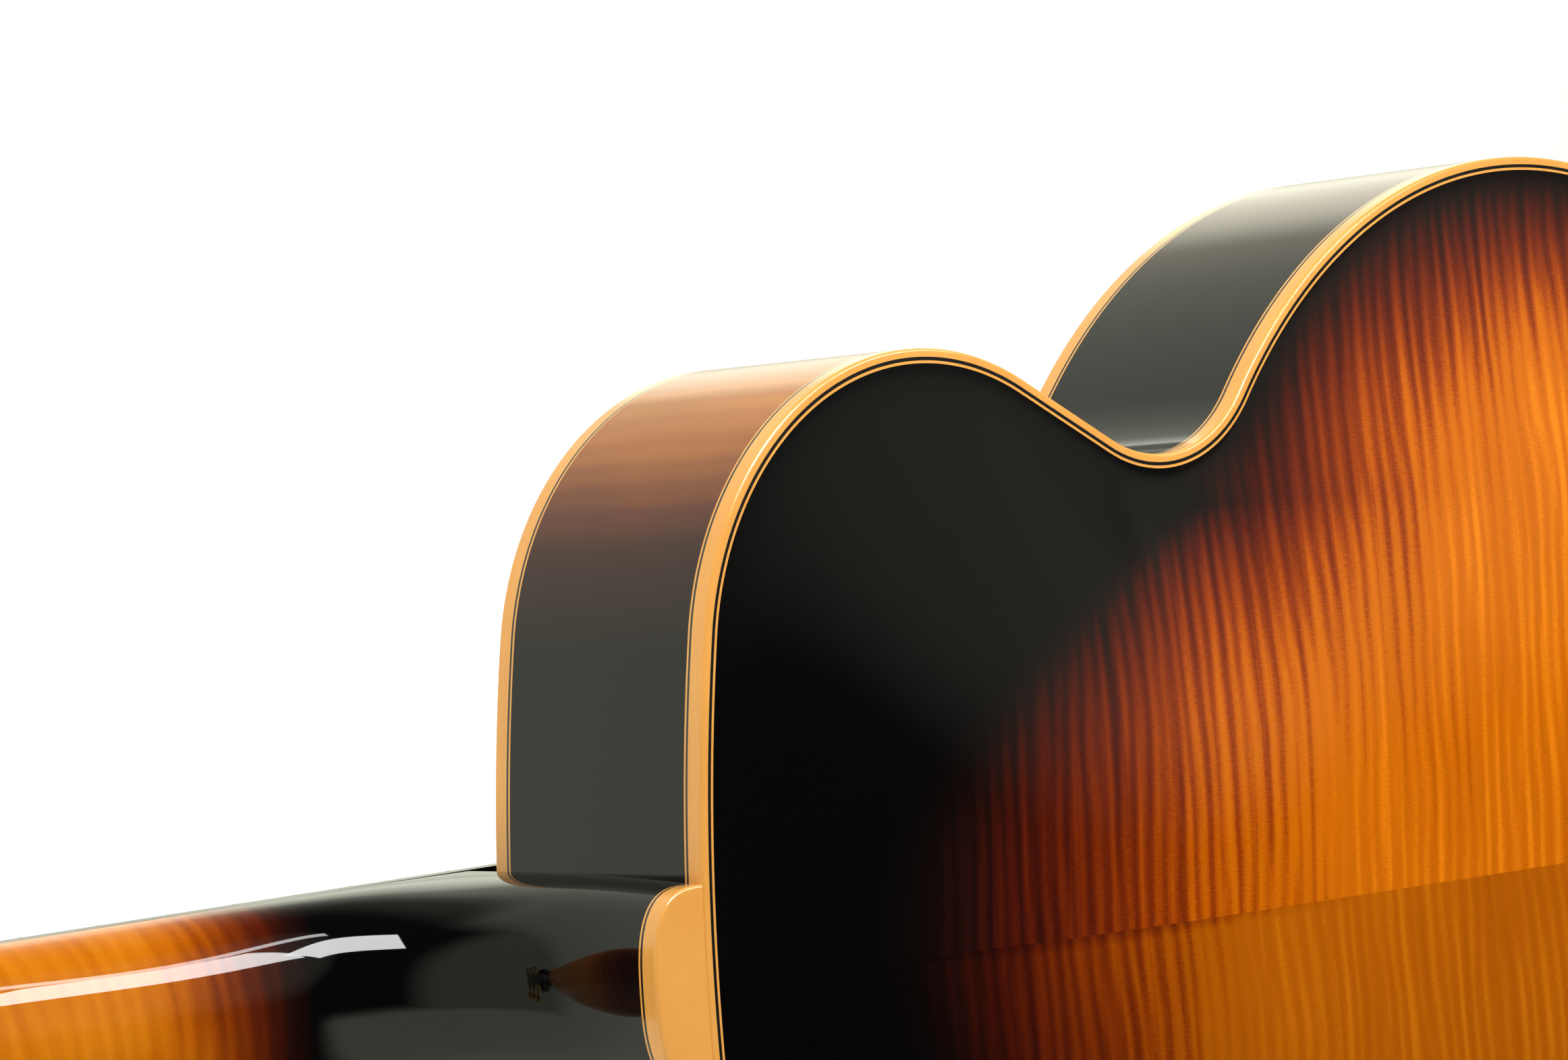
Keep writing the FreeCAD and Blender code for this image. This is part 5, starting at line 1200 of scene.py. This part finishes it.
# Thumbwheels of the bridge
def knurled_wheel(node):
    """A wheel in the place of its node, with fine ridges round its rim."""
    low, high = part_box(node)
    centre = (low + high) / 2
    radius = (high.x - low.x) / 2
    face = radius - WHEEL_EDGE
    rows = []
    for step, (c, s) in enumerate(circle(len(KNURL_WAVE) * KNURL_COUNT)):
        rim = radius - KNURL_DEPTH * KNURL_WAVE[step % len(KNURL_WAVE)]
        profile = [(WHEEL_BORE, low.y), (face, low.y), (rim, low.y + WHEEL_EDGE),
                   (rim, high.y - WHEEL_EDGE), (face, high.y), (WHEEL_BORE, high.y)]
        rows.append([(centre.x + r * c, y, centre.z + r * s) for r, y in profile])
    return joined([], [np.array(rows)])


for word in SIDES:
    node = "thumbwheel_" + word
    add_piece("knurled_wheel_" + word, knurled_wheel(node), "gold_metal", [node], "wheel_" + word)


# Camera at the photograph's place
LENS = 103.126
SENSOR = 36.0
CAMERA_SPOT = (-0.11267, 0.93354, 0.39855)
CAMERA_TURN = Euler([math.radians(angle) for angle in (-3.8811, 47.2137, 84.5642)])


def add_camera():
    data = bpy.data.cameras.new("camera")
    data.lens = LENS
    data.sensor_width = SENSOR
    data.sensor_fit = "HORIZONTAL"
    camera = new_object("camera", data)
    camera.matrix_world = Matrix.LocRotScale(CAMERA_SPOT, CAMERA_TURN, None)
    bpy.context.scene.camera = camera


# Lights, and the things that each of them lights
PANEL_PIECES = bpy.data.collections.new("panel_pieces")
for name in ("carved_neck", "edge_binding_back", "edge_binding_front", "ivory_lines", "black_lines"):
    PANEL_PIECES.objects.link(bpy.data.objects[name])
PANEL_PIECES.objects.link(frame["nodes"]["heel_cap"])
BESIDE_FLOOR = bpy.data.collections.new("beside_floor")
FLOOR_ALONE = bpy.data.collections.new("floor_alone")
FLOOR_GAP = 0.004
FLOOR_LEVEL = cad_bounds[0][2] - FLOOR_GAP
FLOOR_REACH = 4.0
FLOOR_TONES = ((0.93, 0.91, 0.97, 1), (0.96, 0.94, 1.0, 1))
PANEL_X = -0.6


def add_light(name, spot, turn, size, power, receivers):
    """A rectangular light that the camera doesn't see, for some things alone."""
    data = bpy.data.lights.new(name, "AREA")
    data.shape = "RECTANGLE"
    data.size, data.size_y = size
    data.energy = power
    light = new_object(name, data)
    light.matrix_world = Matrix.Translation(spot) @ turn.to_4x4()
    light.visible_camera = False
    light.light_linking.receiver_collection = receivers
    return light


def add_area(name, spot, target, size, power, receivers):
    """A soft light for the matt shading alone."""
    aim = Vector(target) - Vector(spot)
    light = add_light(name, spot, aim.to_track_quat("-Z", "Y").to_matrix(), size, power, receivers)
    light.visible_glossy = False


def add_panel(name, first, last, width, glow):
    """A bright panel on the bass side, between two ends given in Y and Z, seen only in the gloss."""
    first, last = Vector((PANEL_X, *first)), Vector((PANEL_X, *last))
    along = (last - first).normalized()
    facing = Vector((-1, 0, 0))
    turn = Matrix((along, facing.cross(along), facing)).transposed()
    size = ((last - first).length, width)
    power = glow * math.pi * size[0] * size[1]
    light = add_light(name, (first + last) / 2, turn, size, power, PANEL_PIECES)
    light.visible_diffuse = False


# Studio round the guitar, by its directions' coordinates: where each part starts and is full
FRONT_FADE = (0.15, -0.35)
ABOVE_FADE = (0.42, 0.75)
ABOVE_SHARE = 0.55
BESIDE_FADE = (0.12, 0.28)
BESIDE_LOW_FADE = (-0.45, -0.15)
STUDIO_RANGE = (0.02, 0.88)
STUDIO_TINT = (0.97, 1.0, 0.82, 1)
BACKDROP_GLOW = 1.05

# Round spots of the studio: their direction, and their inner and outer angle
FLAG = ((-0.93, -0.12, -0.25), 0.25, 0.60)
FLAG_SHADE = 0.75
SHEEN = ((-0.42, 0.68, -0.60), 0.25, 0.50)
SHEEN_GLOW = 0.29
WINDOW = ((-0.42, -0.64, -0.65), 0.10, 0.32)
WINDOW_GLOW = 0.85


def round_spot(direction, centre, inner, outer):
    """1 within the inner angle of a direction, falling to 0 at the outer one."""
    inputs = {0: direction, 1: Vector(centre).normalized()}
    cosine = field(direction.tree, "VectorMath", inputs, "Value", operation="DOT_PRODUCT")
    return cosine.remap((math.cos(outer), math.cos(inner)), smooth=True)


def add_world():
    """A white studio in front of the guitar, above it and on its treble side, and a dim one behind it."""
    world = bpy.data.worlds.new("studio")
    world.use_nodes = True
    tree = world.node_tree
    tree.nodes.clear()
    direction = field(tree, "TexCoord", output="Generated")
    x, y, z = direction.parts()
    beside = x.remap(BESIDE_FADE, smooth=True) * z.remap(BESIDE_LOW_FADE, smooth=True)
    above = z.remap(ABOVE_FADE, smooth=True) * ABOVE_SHARE
    white = y.remap(FRONT_FADE, smooth=True).calc("MAXIMUM", above.calc("MAXIMUM", beside))
    lit = white * (round_spot(direction, *FLAG) * -FLAG_SHADE + 1.0)
    level = lit.remap((0.0, 1.0), STUDIO_RANGE).calc("MAXIMUM", round_spot(direction, *SHEEN) * SHEEN_GLOW)
    level = level + round_spot(direction, *WINDOW) * WINDOW_GLOW
    studio = field(tree, "Background", {"Color": STUDIO_TINT, "Strength": level})
    plain = field(tree, "Background", {"Color": (1, 1, 1, 1), "Strength": BACKDROP_GLOW})
    seen = field(tree, "LightPath", output="Is Camera Ray")
    both = field(tree, "MixShader", {0: seen, 1: studio, 2: plain})
    add_node(tree, "OutputWorld", {0: both})
    bpy.context.scene.world = world


def add_floor():
    """A pale floor, left out of the lacquer's reflections, which take the studio's light instead."""
    corners = FLOOR_REACH * np.array([(-1, -1), (1, -1), (1, 1), (-1, 1)])
    mesh = bpy.data.meshes.new("floor")
    mesh.from_pydata([(x, y, FLOOR_LEVEL) for x, y in corners], [], [(0, 1, 2, 3)])
    mesh.materials.append(mottled("floor", (3, 3, 3), FLOOR_TONES, detail=3.0, Roughness=0.8))
    floor = new_object("floor", mesh)
    floor.visible_glossy = False
    FLOOR_ALONE.objects.link(floor)
    BESIDE_FLOOR.objects.link(floor)
    BESIDE_FLOOR.collection_objects[0].light_linking.link_state = "EXCLUDE"


add_camera()
add_world()
add_floor()
add_area("key", spot=(-1.4, 0.8, -0.4), target=(0, 0.06, -0.6), size=(0.8, 0.8), power=11.0,
         receivers=BESIDE_FLOOR)
add_area("fill", spot=(-0.60, 0.50, -0.44), target=(0.0, 0.02, -0.44), size=(0.16, 0.86), power=4.9,
         receivers=BESIDE_FLOOR)
for name, power, receivers in (("over_floor", 34, FLOOR_ALONE), ("overhead", 17, BESIDE_FLOOR)):
    add_area(name, spot=(0, -1.0, 0.9), target=(0, -1.0, FLOOR_LEVEL), size=(2.0, 2.0), power=power,
             receivers=receivers)
add_panel("panel_high", first=(0.95, -0.85), last=(0.36, -0.17), width=0.30, glow=15)
add_panel("panel_low", first=(0.78, -1.32), last=(0.78, -0.88), width=0.42, glow=14)
add_panel("panel_thin", first=(0.55, -0.96), last=(0.40, -0.58), width=0.05, glow=9)
bpy.context.scene.view_settings.view_transform = "Standard"
